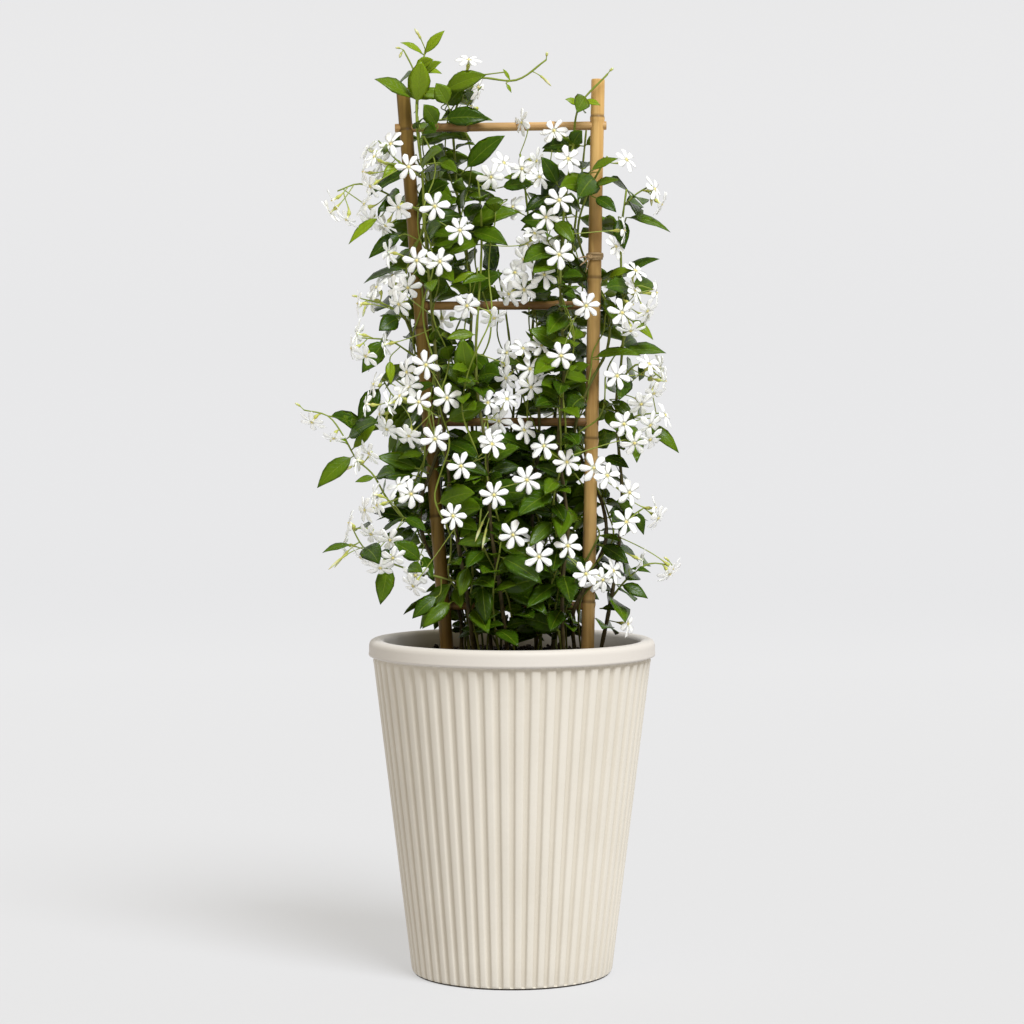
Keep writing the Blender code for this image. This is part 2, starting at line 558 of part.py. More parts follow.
def nearest_stem(point, stems, names=None, above=POT_HEIGHT - 0.006):
    """The node, place, radius and heading of the stem nearest to a point, with depth counted half."""
    best = None
    for name in names or stems:
        for stem in stems[name]:
            line = spaced(stem.line, FINE_STEP)
            line_ok = line[:, 2] > above
            away = (line - point) * (1, 0.5, 1)
            distance = np.where(line_ok, np.linalg.norm(away, axis=1), 9)
            k = distance.argmin()
            if best is None or distance[k] < best[0]:
                radius = stem.start + (stem.end - stem.start) * k / len(line)
                heading = unit(line[min(k + 1, len(line) - 1)] - line[max(k - 1, 0)])
                best = (distance[k], name, line[k], radius, heading)
    return best[1:]


def facing(turn, lift):
    """The direction turned to the right of the front and lifted, in degrees."""
    turn, lift = math.radians(turn), math.radians(lift)
    return np.array((math.sin(turn) * math.cos(lift), -math.cos(turn) * math.cos(lift), math.sin(lift)))


def stalk(start, end, leaving, arriving, bow, count):
    """A curved stalk's line, from its start and end and the directions there."""
    reach = np.linalg.norm(end - start) * bow
    share = np.linspace(0, 1, count)[:, None]
    a, b = start + leaving * reach, end - arriving * reach
    near, far = (1 - share) ** 3 * start, share**3 * end
    return near + 3 * share * (1 - share) ** 2 * a + 3 * share**2 * (1 - share) * b + far


def grow_spray(flowers, stems, taken, name, rng):
    """A spray: its first flower's stalk starts at the nearest stem, and the others branch off that stalk."""
    wanted = []
    for x, z, y, turn, lift, petals in flowers:
        radius = FLOWER_RADIUS * rng.uniform(0.92, 1.04)
        wanted.append((place(x, z, y), facing(turn, lift), radius, petals, rng.uniform(0, 2 * math.pi)))
    middle = np.mean([centre - axis * 0.016 for centre, axis, *_ in wanted], axis=0)
    for attempt in range(80):
        wobble = rng.normal(0, 0.0010 * attempt**0.7 + 1e-6, 3)
        shift = rng.normal(0, 0.0015, 3) if attempt > 20 else np.zeros(3)
        _, root, radius, heading = nearest_stem(middle + wobble * 1.5, stems)
        out = unit(middle - root)
        start = root + unit(out - heading * (out @ heading)) * (radius + STALK_RADIUS * 0.5 + FIT_GAP)
        made, fork = [], None
        for centre, axis, size, petals, spin in wanted:
            centre = centre + shift
            back = centre - axis * TUBE_LENGTH
            if fork is None:
                line = stalk(start, back, unit(out + wobble * 20), axis, 0.35, 3)
                fork = line[0] * 0.2 + line[1] * 0.8
            else:
                line = stalk(fork, back, unit(back - fork), axis, 0.3, 2)
            made.append(Flower(centre, axis, size, petals, spin, line))
        shapes = [star(flower, TEST_GAP) for flower in made]
        shapes[0] = star(made[0], TEST_GAP / 3)
        if not any(taken.crosses(*shape) for shape in shapes):
            for flower in made:
                taken.add(name, *star(flower))
            return made
    return None


def shown_leaf(row):
    """A leaf from its row in SHOWN_LEAVES."""
    foot, tip = place(*(row[k] for k in (0, 1, 2))), place(*(row[k] for k in (3, 4, 5)))
    length = np.linalg.norm(tip - foot)
    face = unit(np.array((0, -1.0, 0)) * row[7] + np.array((0, 0, 1.0)) * (1 - row[7]) + (0, 0, 0.05))
    bend = (foot + tip) / 2 + face * length * 0.12 + np.array((0, 0, 1.0)) * length * 0.06
    return Leaf(foot, bend, tip, face, row[6] / 1000)


def pole_view(pole):
    """A pole's heights and its places across, for reading one from the other."""
    (low_x, low_z, _), (high_x, high_z, _) = pole
    return (low_z, high_z), (low_x, high_x)


def inside_outline(tip):
    """Whether a point of a leaf is inside the plant's outline, off the pot, and not in front of a pole."""
    nearer = 1 + tip[1] / VIEW_DISTANCE
    x = tip[0] / nearer * 1000
    z = (EYE_HEIGHT + (tip[2] - EYE_HEIGHT) / nearer) * 1000 - VIEW_FOOT
    rows = np.array(OUTLINE, float)
    left, inner_left, inner_right, right = (np.interp(z, rows[:, 0], rows[:, k]) for k in (1, 2, 3, 4))
    across = left < x < inner_left or inner_right < x < right
    for pole in (LEFT_POLE, RIGHT_POLE):
        if tip[1] < 0 and abs(x - np.interp(z, *pole_view(pole))) < POLE_CLEAR:
            return False
    over_pot = np.hypot(tip[0], tip[1]) < RIM_INNER_RADIUS - 0.012 or tip[2] > POT_HEIGHT + 0.012
    return across and abs(tip[1]) < MOST_DEPTH and tip[2] > SOIL_TOP + 0.012 and over_pot


def grow_leaves(stems, taken, rng, internode):
    """Pairs of leaves up every stem, each pair turned from the last, where they cross nothing."""
    leaves = {name: [] for name in stems}
    for name in stems:
        for number, stem in enumerate(stems[name]):
            line = spaced(stem.line, FINE_STEP)
            across, up = frames(line)
            along = 0.012 if number else 0.03
            turn = rng.uniform(0, math.pi)
            while along < FINE_STEP * (len(line) - 1):
                k = int(along / FINE_STEP)
                along += internode * rng.uniform(0.8, 1.2)
                turn += math.pi / 2 + rng.normal(0, 0.3)
                if line[k][2] < SOIL_TOP + 0.02:
                    continue
                tip_share = max(0.0, (line[k][2] - SMALLER_ABOVE) / 0.12)
                for opposite in (0, math.pi):
                    for _ in range(7):
                        angle = turn + opposite + rng.normal(0, 0.35)
                        out = across[k] * math.cos(angle) + up[k] * math.sin(angle)
                        lift = rng.uniform(*LEAF_LIFT)
                        length = LEAF_LENGTH * rng.uniform(*LEAF_SIZES) * (1 - 0.45 * min(1, tip_share))
                        heading = unit(out * (1, 1, 0.3) + np.array((0, 0, lift)))
                        tip = line[k] + heading * length - np.array((0, 0, LEAF_DROOP * length))
                        outward = unit(line[k] * (3, 14, 0) + out * (0.35, 0.35, 0))
                        face = unit(np.array((0, 0, 1.0)) * rng.uniform(0.15, 1.0) + outward)
                        bend = line[k] + heading * length * 0.55
                        width = length * LEAF_WIDTH * rng.uniform(0.9, 1.1)
                        leaf = Leaf(line[k], bend, tip, face, width)
                        if not all(inside_outline(leaf_at(leaf, share)[0]) for share in (0.6, 1.0)):
                            continue
                        if taken.crosses(*blade(leaf, TEST_GAP), but=(name,)) or crosses_beyond(leaf, taken):
                            continue
                        taken.add(name, *blade(leaf))
                        leaves[name].append(leaf)
                        break
    return leaves


def crosses_beyond(leaf, taken):
    """Whether a leaf's blade, past its stalk, crosses anything at all."""
    return taken.crosses(*blade(leaf._replace(foot=leaf_at(leaf, 0.13)[0], root=None), TEST_GAP))


def place_buds(stems, taken):
    """The buds of each node, with their stalks in the nearest stem."""
    buds = {name: [] for name in stems}
    for row in BUDS:
        foot, tip = place(*row[:3]), place(*row[3:])
        name, root, _, _ = nearest_stem(foot, stems)
        if not taken.crosses(*bud(root, tip, TEST_GAP), but=(name,)):
            taken.add(name, *bud(root, tip))
            buds[name].append((root, tip))
    return buds


def place_shown_leaves(stems, taken, rng):
    """The leaves of SHOWN_LEAVES, each from the nearest stem, on a long stalk where it must reach."""
    leaves = {name: [] for name in stems}
    for row in SHOWN_LEAVES:
        wanted = shown_leaf(row)
        name, root, _, _ = nearest_stem(wanted.foot, stems)
        for attempt in range(40):
            nudge = rng.normal(0, 0.0007 * attempt, 3)
            leaf = wanted._replace(foot=wanted.foot + nudge, bend=wanted.bend + nudge, tip=wanted.tip + nudge)
            short = np.linalg.norm(leaf.foot - root) < SHORT_TWIG
            leaf = leaf._replace(foot=root) if short else leaf._replace(root=root)
            if not taken.crosses(*blade(leaf, TEST_GAP), but=(name,)) and not crosses_beyond(leaf, taken):
                taken.add(name, *blade(leaf))
                leaves[name].append(leaf)
                break
    return leaves


def grow_plant():
    """For each vine its stems, leaves and buds, for each spray its flowers, and the space they all take."""
    rng = np.random.default_rng(SEED)
    stems = grow_stems()
    taken = Taken()
    for pole in (LEFT_POLE, RIGHT_POLE):
        space = tube(pole_line(pole), POLE_RADIUS, POLE_RADIUS, POLE_SIDES, NODE_SWELL + TEST_GAP)
        taken.add("pole", *space)
    for rung in RUNGS:
        taken.add("rung", *tube(rung_line(rung), RUNG_RADIUS, RUNG_RADIUS, RUNG_SIDES, TEST_GAP))
    taken.add("tie", *tie_space())
    for name, tubes in stems.items():
        for one in tubes:
            taken.add(name, *tube(*one, STEM_SIDES, TEST_GAP / 3))
    sprays = {}
    for number, flowers in enumerate(SPRAYS):
        name = f"spray_{number + 1:02d}"
        found = grow_spray(flowers, stems, taken, name, rng)
        if found:
            sprays[name] = found
    buds = place_buds(stems, taken)
    leaves = place_shown_leaves(stems, taken, rng)
    for name, more in grow_leaves(stems, taken, rng, INTERNODE).items():
        leaves[name] += more
    return stems, leaves, buds, sprays, taken


def material(name, color, roughness, metallic=0.0):
    """A Principled material."""
    made = bpy.data.materials.new(name)
    made.use_nodes = True
    shader = made.node_tree.nodes["Principled BSDF"]
    shader.inputs["Base Color"].default_value = (*color, 1.0)
    shader.inputs["Roughness"].default_value = roughness
    shader.inputs["Metallic"].default_value = metallic
    return made


def mesh_object(name, points, faces, collection, finish=None):
    """An object made of points and faces."""
    mesh = bpy.data.meshes.new(name)
    mesh.from_pydata([tuple(p) for p in points], [], faces)
    mesh.validate()
    if finish:
        mesh.materials.append(finish)
    made = bpy.data.objects.new(name, mesh)
    collection.objects.link(made)
    return made


def wire_object(name, line, radii, sides, collection, finish=None):
    """A round bar along a line: a curve with a bevel, turned into a closed mesh."""
    curve = bpy.data.curves.new(name, "CURVE")
    curve.dimensions = "3D"
    curve.bevel_depth = 1.0
    curve.bevel_resolution = sides // 2 - 2
    curve.use_fill_caps = True
    spline = curve.splines.new("POLY")
    spline.points.add(len(line) - 1)
    for point, at, radius in zip(spline.points, line, radii):
        point.co = (*at, 1.0)
        point.radius = radius
    bar = bpy.data.objects.new(name, curve)
    collection.objects.link(bar)
    made = meshed(bar, collection)
    if finish:
        made.data.materials.append(finish)
    return made


def meshed(source, collection):
    """The object as a plain mesh with its doubles merged, in place of the one that it came from."""
    name = source.name
    evaluated = source.evaluated_get(bpy.context.evaluated_depsgraph_get())
    mesh = bpy.data.meshes.new_from_object(evaluated)
    shape = bmesh.new()
    shape.from_mesh(mesh)
    bmesh.ops.remove_doubles(shape, verts=shape.verts, dist=0.00002)
    bmesh.ops.recalc_face_normals(shape, faces=shape.faces)
    shape.to_mesh(mesh)
    shape.free()
    mesh.name = name
    made = bpy.data.objects.new(name + "_mesh", mesh)
    made.matrix_world = source.matrix_world.copy()
    collection.objects.link(made)
    bpy.data.objects.remove(source)
    made.name = name
    return made


def turned(name, profile, steps, collection, finish=None):
    """A profile of (radius, height) points turned round the Z axis."""
    mesh = bpy.data.meshes.new(name)
    points = [(radius, 0.0, height) for radius, height in profile]
    mesh.from_pydata(points, [(k, k + 1) for k in range(len(points) - 1)], [])
    if finish:
        mesh.materials.append(finish)
    made = bpy.data.objects.new(name, mesh)
    collection.objects.link(made)
    screw = made.modifiers.new("turn", "SCREW")
    screw.steps = steps
    screw.render_steps = steps
    screw.use_merge_vertices = True
    screw.merge_threshold = 0.00005
    return made


def joined(target, others, operation, solver="EXACT"):
    """Join a collection's objects to the target, or cut them out of it, and leave the target a plain mesh."""
    tools = bpy.data.collections.new(target.name + "_" + operation.lower())
    for other in others:
        tools.objects.link(other)
    boolean = target.modifiers.new(operation.lower(), "BOOLEAN")
    boolean.operation = operation
    boolean.operand_type = "COLLECTION"
    boolean.collection = tools
    boolean.solver = solver
    evaluated = target.evaluated_get(bpy.context.evaluated_depsgraph_get())
    mesh = bpy.data.meshes.new_from_object(evaluated)
    target.modifiers.clear()
    target.data = mesh
    for other in others:
        bpy.data.objects.remove(other)
    bpy.data.collections.remove(tools)


def largest_body(made):
    """Keep the object's largest connected body, fill what is sealed inside it, and drop loose scraps."""
    shape = bmesh.new()
    shape.from_mesh(made.data)
    left = set(shape.verts)
    bodies = []
    while left:
        queue = [left.pop()]
        body = set(queue)
        while queue:
            for edge in queue.pop().link_edges:
                for vertex in edge.verts:
                    if vertex in left:
                        left.remove(vertex)
                        body.add(vertex)
                        queue.append(vertex)
        bodies.append(body)
    bodies.sort(key=len)
    scraps = [vertex for body in bodies[:-1] for vertex in body]
    bmesh.ops.delete(shape, geom=scraps, context="VERTS")
    shape.to_mesh(made.data)
    shape.free()
    return len(bodies) - 1


def smooth(made, angle=40):
    """Round surfaces shaded smooth, with sharp edges kept."""
    made.data.shade_smooth()
    made.data.set_sharp_from_angle(angle=math.radians(angle))


def body_radius(height):
    """The pot's crest radius at a height."""
    top = POT_HEIGHT - RIM_HEIGHT
    return FOOT_RADIUS + (CREST_RADIUS - FOOT_RADIUS) * height / top


def inner_radius(height):
    """The radius of the pot's inside at a height: a straight taper below the rim's inner edge."""
    return RIM_INNER_RADIUS - (RIM_INNER_RADIUS - FOOT_RADIUS + WALL) * (POT_HEIGHT - height) / POT_HEIGHT


def make_pot(collection, cutters, finish):
    """The ribbed pot: a fluted taper, a turned rim joined on, and the inside and the drains cut out."""
    points = []
    turn = 2 * math.pi / RIBS
    for height in (0.0, POT_HEIGHT - RIM_HEIGHT / 2):
        for rib in range(RIBS):
            middle = (rib + 0.5) * turn - math.pi / 2
            for share, depth in ((-0.5, RIB_DEPTH), (-RIB_CREST_SHARE / 2, 0.0), (RIB_CREST_SHARE / 2, 0.0)):
                angle = middle + share * turn
                radius = body_radius(height) - depth
                points.append((radius * math.cos(angle), radius * math.sin(angle), height))
    count = 3 * RIBS
    faces = [tuple(range(count))[::-1], tuple(range(count, 2 * count))]
    faces += [(k, (k + 1) % count, (k + 1) % count + count, k + count) for k in range(count)]
    pot = mesh_object("pot", points, faces, collection, finish)
    low, high = POT_HEIGHT - RIM_HEIGHT, POT_HEIGHT
    rim = turned("rim", (
        (0.0, high), (RIM_RADIUS - RIM_ROLL, high), (RIM_RADIUS - RIM_ROLL * 0.3, high - RIM_ROLL * 0.3),
        (RIM_RADIUS, high - RIM_ROLL), (RIM_RADIUS, low + RIM_ROLL * 0.5), (RIM_RADIUS - RIM_ROLL * 0.4, low),
        (0.0, low),
    ), RIM_SEGMENTS, cutters)
    joined(pot, [meshed(rim, cutters)], "UNION")
    lip, above = RIM_ROLL * 0.5, high + WALL
    inside = turned("inside", (
        (0.0, above), (RIM_INNER_RADIUS + lip, above), (RIM_INNER_RADIUS + lip, high),
        (RIM_INNER_RADIUS, high - lip), (inner_radius(FLOOR_THICKNESS), FLOOR_THICKNESS),
        (0.0, FLOOR_THICKNESS),
    ), RIM_SEGMENTS, cutters)
    tools = [meshed(inside, cutters)]
    for k in range(DRAINS):
        angle = math.pi / 2 + k * 2 * math.pi / DRAINS
        deep = 3 * FLOOR_THICKNESS
        bpy.ops.mesh.primitive_cylinder_add(vertices=DRAIN_SIDES, radius=DRAIN_RADIUS, depth=deep)
        drain = bpy.context.object
        drain.location = (DRAIN_RING_RADIUS * math.cos(angle), DRAIN_RING_RADIUS * math.sin(angle), 0)
        tools.append(drain)
    joined(pot, tools, "DIFFERENCE")
    smooth(pot, 30)
    return pot


def soil_height(x, y):
    """The soil's surface: slightly domed, with lumps as a sum of unlike waves."""
    lumps = math.sin(81 * x + 1.3) * math.cos(93 * y)
    lumps += 0.7 * math.sin(171 * x - 122 * y) + 0.5 * math.cos(240 * y + 60 * x)
    return SOIL_TOP + SOIL_LUMP * (0.5 * lumps + 1.0 - (math.hypot(x, y) / 0.09) ** 2)


def make_soil(stems, collection, cutters, finish):
    """The soil that fills the pot, with a lumpy top and a plain hole for each pole and stem."""
    low = FLOOR_THICKNESS + FIT_GAP
    edge = inner_radius(SOIL_TOP - SOIL_DIP)
    rows = [(inner_radius(low) - FIT_GAP * 2, None)]
    rows += [(edge * (1 - ring / SOIL_RINGS) - FIT_GAP * 2, ring) for ring in range(SOIL_RINGS)]
    points, faces = [], []
    for radius, ring in rows:
        for k in range(SOIL_SEGMENTS):
            angle = 2 * math.pi * k / SOIL_SEGMENTS
            x, y = radius * math.cos(angle), radius * math.sin(angle)
            points.append((x, y, low if ring is None else soil_height(x, y)))
    points += [(0, 0, low), (0, 0, soil_height(0, 0))]
    count = SOIL_SEGMENTS
    for row in range(len(rows) - 1):
        for k in range(count):
            a, b = row * count + k, row * count + (k + 1) % count
            faces += [(a, b, b + count), (a, b + count, a + count)]
    last = (len(rows) - 1) * count
    faces += [(len(points) - 2, (k + 1) % count, k) for k in range(count)]
    faces += [(last + k, last + (k + 1) % count, len(points) - 1) for k in range(count)]
    soil = mesh_object("soil", points, faces, collection, finish)
    holes = []
    clear = FIT_GAP * 2
    for k, pole in enumerate((LEFT_POLE, RIGHT_POLE)):
        low_end, top = pole_line(pole)
        along = unit(top - low_end)
        line = [low_end - along * clear, low_end + along * (POT_HEIGHT - POLE_TIP_HEIGHT)]
        radius = POLE_RADIUS + NODE_SWELL + clear
        holes.append(wire_object(f"pole_hole_{k}", line, [radius] * 2, POLE_HOLE_SIDES, cutters))
    for name, tubes in stems.items():
        line = tubes[0].line[:3].copy()
        line[0] -= unit(line[1] - line[0]) * clear
        holes.append(wire_object("hole_" + name, line, [STEM_BASE_RADIUS + clear] * 3, STEM_SIDES, cutters))
    joined(soil, holes, "DIFFERENCE")
    smooth(soil, 50)
    return soil


def make_pole(name, pole, nodes, collection, cutters, finish):
    """A bamboo upright: a round bar that swells at its nodes, drilled for the rungs."""
    low, high = pole_line(pole)
    length = np.linalg.norm(high - low)
    along = unit(high - low)
    stops, radii = [0.0], [POLE_RADIUS]
    for node in nodes:
        at = (place(0, node, 0)[2] - low[2]) / along[2]
        for step, swell in ((-NODE_HALF, 0.0), (0.0, NODE_SWELL), (NODE_HALF, 0.0)):
            stops.append(at + step)
            radii.append(POLE_RADIUS + swell)
    stops.append(length)
    radii.append(POLE_RADIUS * 0.98)
    line = [low + along * stop for stop in stops]
    made = wire_object(name, line, radii, POLE_SIDES, collection, finish)
    drills = []
    for number, rung in enumerate(RUNGS):
        left, right = rung_line(rung)
        beyond = unit(right - left) * WALL
        radii = [RUNG_RADIUS + FIT_GAP] * 2
        line = [left - beyond, right + beyond]
        drills.append(wire_object(f"drill_{number}", line, radii, RUNG_SIDES, cutters))
    joined(made, drills, "DIFFERENCE")
    smooth(made)
    return made


def make_rung(number, rung, collection, finish):
    """A thin bamboo cross bar."""
    made = wire_object(f"rung_{number}", rung_line(rung), [RUNG_RADIUS] * 2, RUNG_SIDES, collection, finish)
    smooth(made)
    return made


def tie_route():
    """The raffia's line: once round the right upright, and down into a short tail at its front left."""
    low, high = pole_line(RIGHT_POLE)
    axis = low + (high - low) * (TIE_HEIGHT - low[2]) / (high[2] - low[2])
    reach = POLE_RADIUS + NODE_SWELL + TIE_WIRE + FIT_GAP
    turns = np.linspace(0.0, TIE_TURN, TIE_POINTS) + TIE_START
    rise = np.arange(TIE_POINTS) * TIE_RISE
    loop = axis + np.stack((reach * np.cos(turns), reach * np.sin(turns), rise), axis=1)
    return np.vstack((loop, loop[-1] + TIE_TAIL))


def tie_space():
    """Points and faces of the space that the tie takes."""
    return tube(tie_route(), TIE_WIRE, TIE_WIRE, STEM_SIDES, TEST_GAP)


def make_tie(collection, finish):
    """The raffia tie round the right upright."""
    route = tie_route()
    radii = [TIE_WIRE] * (len(route) - 1) + [TIE_WIRE * 0.6]
    made = wire_object("tie_right", route, radii, STEM_SIDES, collection, finish)
    smooth(made)
    return made


def make_vine(name, tubes, leaves, buds, collection, cutters, finish):
    """A leafy stem: its stem, side shoots, leaves and buds fused in one solid."""
    main, *shoots = tubes
    radii = np.linspace(main.start, main.end, len(main.line))
    vine = wire_object(name, main.line, radii, STEM_SIDES, collection, finish)
    parts = [mesh_object(f"{name}_shoot_{k}", *tube(*one, 3), cutters) for k, one in enumerate(shoots)]
    parts += [mesh_object(f"{name}_leaf_{k}", *blade(leaf), cutters) for k, leaf in enumerate(leaves)]
    parts += [mesh_object(f"{name}_bud_{k}", *bud(*ends), cutters) for k, ends in enumerate(buds)]
    joined(vine, parts, "UNION", "MANIFOLD")
    return vine


def make_spray(name, flowers, collection, cutters, finish):
    """A flower spray: its flowers, with their stalks, fused in one solid."""
    first, *rest = flowers
    spray = mesh_object(name, *star(first), collection, finish)
    if rest:
        parts = [mesh_object(f"{name}_flower_{k}", *star(flower), cutters) for k, flower in enumerate(rest)]
        joined(spray, parts, "UNION", "MANIFOLD")
    return spray


def main():
    """Clear the scene, then model the pot, the soil, the trellis and the plant."""
    for old in list(bpy.data.objects):
        bpy.data.objects.remove(old)
    scene = bpy.context.scene
    jasmine = bpy.data.collections.new("potted_star_jasmine")
    cutters = bpy.data.collections.new("cutters")
    scene.collection.children.link(jasmine)
    scene.collection.children.link(cutters)
    cream = material("cream_ceramic", (0.70, 0.64, 0.52), 0.45)
    earth = material("potting_soil", (0.035, 0.022, 0.014), 0.95)
    cane = material("bamboo_cane", (0.36, 0.20, 0.09), 0.5)
    raffia = material("raffia", (0.55, 0.40, 0.20), 0.8)
    leaf = material("jasmine_leaf", (0.03, 0.11, 0.015), 0.35)
    petal = material("jasmine_petal", (0.90, 0.90, 0.84), 0.6)
    stems, leaves, buds, sprays, _ = grow_plant()
    make_pot(jasmine, cutters, cream)
    make_soil(stems, jasmine, cutters, earth)
    make_pole("pole_left", LEFT_POLE, LEFT_NODES, jasmine, cutters, cane)
    make_pole("pole_right", RIGHT_POLE, RIGHT_NODES, jasmine, cutters, cane)
    for number, rung in enumerate(RUNGS):
        make_rung(number + 1, rung, jasmine, cane)
    make_tie(jasmine, raffia)
    for name in stems:
        largest_body(make_vine(name, stems[name], leaves[name], buds[name], jasmine, cutters, leaf))
    for name, flowers in sprays.items():
        largest_body(make_spray(name, flowers, jasmine, cutters, petal))


if __name__ == "__main__":
    main()
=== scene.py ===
"""Finished looks for a potted star jasmine on a bamboo ladder trellis, in metres.

The plant is laid out with the same rules, data and random draws as its solids, so each fine leaf, petal
and stem lies where its solid does. +Z is up and the front faces -Y. Places on the plant are millimetres
read off the front view: x across, z up, and y behind the trellis.
"""

import functools
from collections import namedtuple
from math import cos, pi, radians, sin, sqrt

import bpy
import numpy as np
from bpy.props import FloatProperty, FloatVectorProperty, IntProperty
from bpy.types import Operator, Panel, PropertyGroup
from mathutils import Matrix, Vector
from mathutils.bvhtree import BVHTree


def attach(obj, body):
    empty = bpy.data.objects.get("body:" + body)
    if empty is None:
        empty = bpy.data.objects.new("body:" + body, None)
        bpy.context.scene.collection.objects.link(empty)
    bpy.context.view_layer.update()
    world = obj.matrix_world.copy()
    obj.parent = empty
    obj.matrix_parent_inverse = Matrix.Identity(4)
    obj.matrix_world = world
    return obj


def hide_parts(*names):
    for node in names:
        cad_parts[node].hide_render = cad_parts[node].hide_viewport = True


bl_info = {
    "name": "Potted star jasmine",
    "version": (1, 0, 0),
    "blender": (4, 5, 0),
    "location": "View3D > Sidebar > Jasmine",
    "description": "Builds a flowering star jasmine on a bamboo ladder trellis in a ribbed pot",
    "category": "Add Mesh",
}

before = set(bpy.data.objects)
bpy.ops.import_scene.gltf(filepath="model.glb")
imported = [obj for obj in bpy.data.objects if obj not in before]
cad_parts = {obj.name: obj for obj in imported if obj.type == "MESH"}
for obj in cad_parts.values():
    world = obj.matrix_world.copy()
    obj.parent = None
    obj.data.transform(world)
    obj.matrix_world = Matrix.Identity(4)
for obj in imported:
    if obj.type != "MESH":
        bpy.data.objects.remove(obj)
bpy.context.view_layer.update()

# Pot
POT_HEIGHT = 0.3355
FOOT_RADIUS = 0.1005
CREST_RADIUS = 0.1395
RIM_RADIUS = 0.1432
RIM_INNER_RADIUS = 0.128
RIM_HEIGHT = 0.0165
RIBS = 56
RIB_DEPTH = 0.0026
WALL = 0.011
FLOOR_THICKNESS = 0.014
DRAIN_RADIUS = 0.006
DRAIN_RING_RADIUS = 0.055
DRAINS = 3

# Soil
SOIL_TOP = 0.317
SOIL_LUMP = 0.003
SOIL_DIP = 0.012
FIT_GAP = 0.0003

# Trellis: where each upright meets the soil, and its top
POLE_RADIUS = 0.0067
POLE_SIDES = 8
POLE_TIP_HEIGHT = 0.16
LEFT_POLE = ((-65.5, 325, 0), (-108.7, 880, 0))
RIGHT_POLE = ((75.9, 325, 0), (85.6, 889, 0))
LEFT_NODES = (452, 640, 837)
RIGHT_NODES = (366, 530, 690, 850)
NODE_SWELL = 0.0006
RUNG_RADIUS = 0.0043
RUNG_SIDES = 6
RUNGS = (
    ((-116.5, 840.5, 0), (94, 843, 0)),
    ((-97, 664, 0), (88.5, 664.5, 0)),
    ((-90, 548, 0), (86.5, 548, 0)),
    ((-75, 364, 0), (82.5, 364, 0)),
)
TIE_HEIGHT = 0.7175
TIE_WIRE = 0.0011
TIE_START = -0.62 * pi
TIE_TURN = 1.72 * pi
TIE_POINTS = 10
TIE_RISE = 0.0003
TIE_TAIL = ((-0.006, -0.003, -0.004), (-0.010, -0.004, -0.010))

# The front view was read from this far away and this high, with its zero this far above the pot's foot
VIEW_DISTANCE = 2.95
EYE_HEIGHT = 0.5895
VIEW_FOOT = 4.5

# Plant
SEED = 11
STEM_STEP = 0.042
STEM_SIDES = 4
SHOOT_STEP = 0.026
FINE_STEP = 0.004
STEM_BASE_RADIUS = 0.0023
STEM_TIP_RADIUS = 0.0010
SHOOT_RADIUS = 0.0012
SHOOT_TIP_RADIUS = 0.0007
STALK_RADIUS = 0.0007
STEM_GAP = 0.0022
ROOT_DEPTH = 28
TEST_GAP = 0.0003
KEEL = 0.0016
SHORT_TWIG = 0.006
BUD_RADIUS = 0.0016
TUBE_RADIUS = 0.0013
TUBE_LENGTH = 0.0020
LEAF_ROWS = (0.34, 0.70)
INTERNODE = 0.145
LEAF_LENGTH = 0.050
LEAF_WIDTH = 0.48
LEAF_SIZES = (0.82, 1.15)
LEAF_LIFT = (-0.35, 0.6)
LEAF_DROOP = 0.25
SMALLER_ABOVE = 0.8045
MOST_DEPTH = 0.112
POLE_CLEAR = 11
TWINES = {
    "vine_left_twine": (LEFT_POLE, 2.4, -0.6, 318, 842),
    "vine_right_twine": (RIGHT_POLE, 2.6, 2.4, 318, 838),
}
TWINE_RADIUS = 0.0175
VINES = {
    "vine_left_front": ((-38, 312, -30), (-46, 380, -42), (-58, 450, -40), (-66, 520, -44), (-74, 590, -38),
        (-80, 660, -40), (-86, 730, -36), (-90, 800, -30), (-96, 860, -22), (-90, 900, -12), (-86, 918, -6)),
    "vine_left_inner": ((-20, 312, -6), (-26, 364, 14), (-36, 470, 14), (-40, 548, 16), (-44, 600, -8),
        (-40, 664, -18), (-44, 710, -10), (-54, 770, 8), (-58, 842, 14), (-54, 866, 8), (-46, 884, 2), (-29, 890, 0),
        (3, 888, -4), (22, 887, -4), (34, 908, -4)),
    "vine_left_back": ((-34, 312, 34), (-60, 420, 52), (-78, 520, 58), (-90, 620, 50), (-84, 720, 54),
        (-90, 800, 44), (-94, 852, 30)),
    "vine_middle_front": ((-4, 312, -34), (-12, 380, -52), (-22, 450, -54), (-26, 520, -50), (-36, 590, -46),
        (-34, 660, -40), (-30, 730, -34), (-34, 790, -26)),
    "vine_middle_back": ((4, 312, 30), (-2, 400, 48), (-10, 480, 54), (2, 560, 50), (-4, 640, 44), (-14, 700, 40)),
    "vine_right_front": ((52, 312, -30), (50, 380, -46), (56, 450, -44), (46, 520, -48), (52, 600, -42),
        (48, 680, -40), (52, 760, -36), (60, 815, -26), (62, 848, -20), (68, 864, -14), (85, 884, -16),
        (95, 894, -14)),
    "vine_right_inner": ((24, 312, -4), (24, 364, -14), (20, 460, -10), (28, 548, -14), (18, 610, -6), (22, 664, 14),
        (18, 730, 10), (12, 790, 4), (8, 815, 0)),
    "vine_right_back": ((40, 312, 34), (48, 420, 54), (40, 520, 60), (52, 620, 52), (60, 720, 54), (70, 800, 40),
        (74, 840, 30)),
    "vine_right_outer": ((88, 312, -20), (104, 400, -24), (110, 480, -20), (104, 560, -14), (112, 640, -14),
        (108, 720, -16), (114, 780, -10)),
}

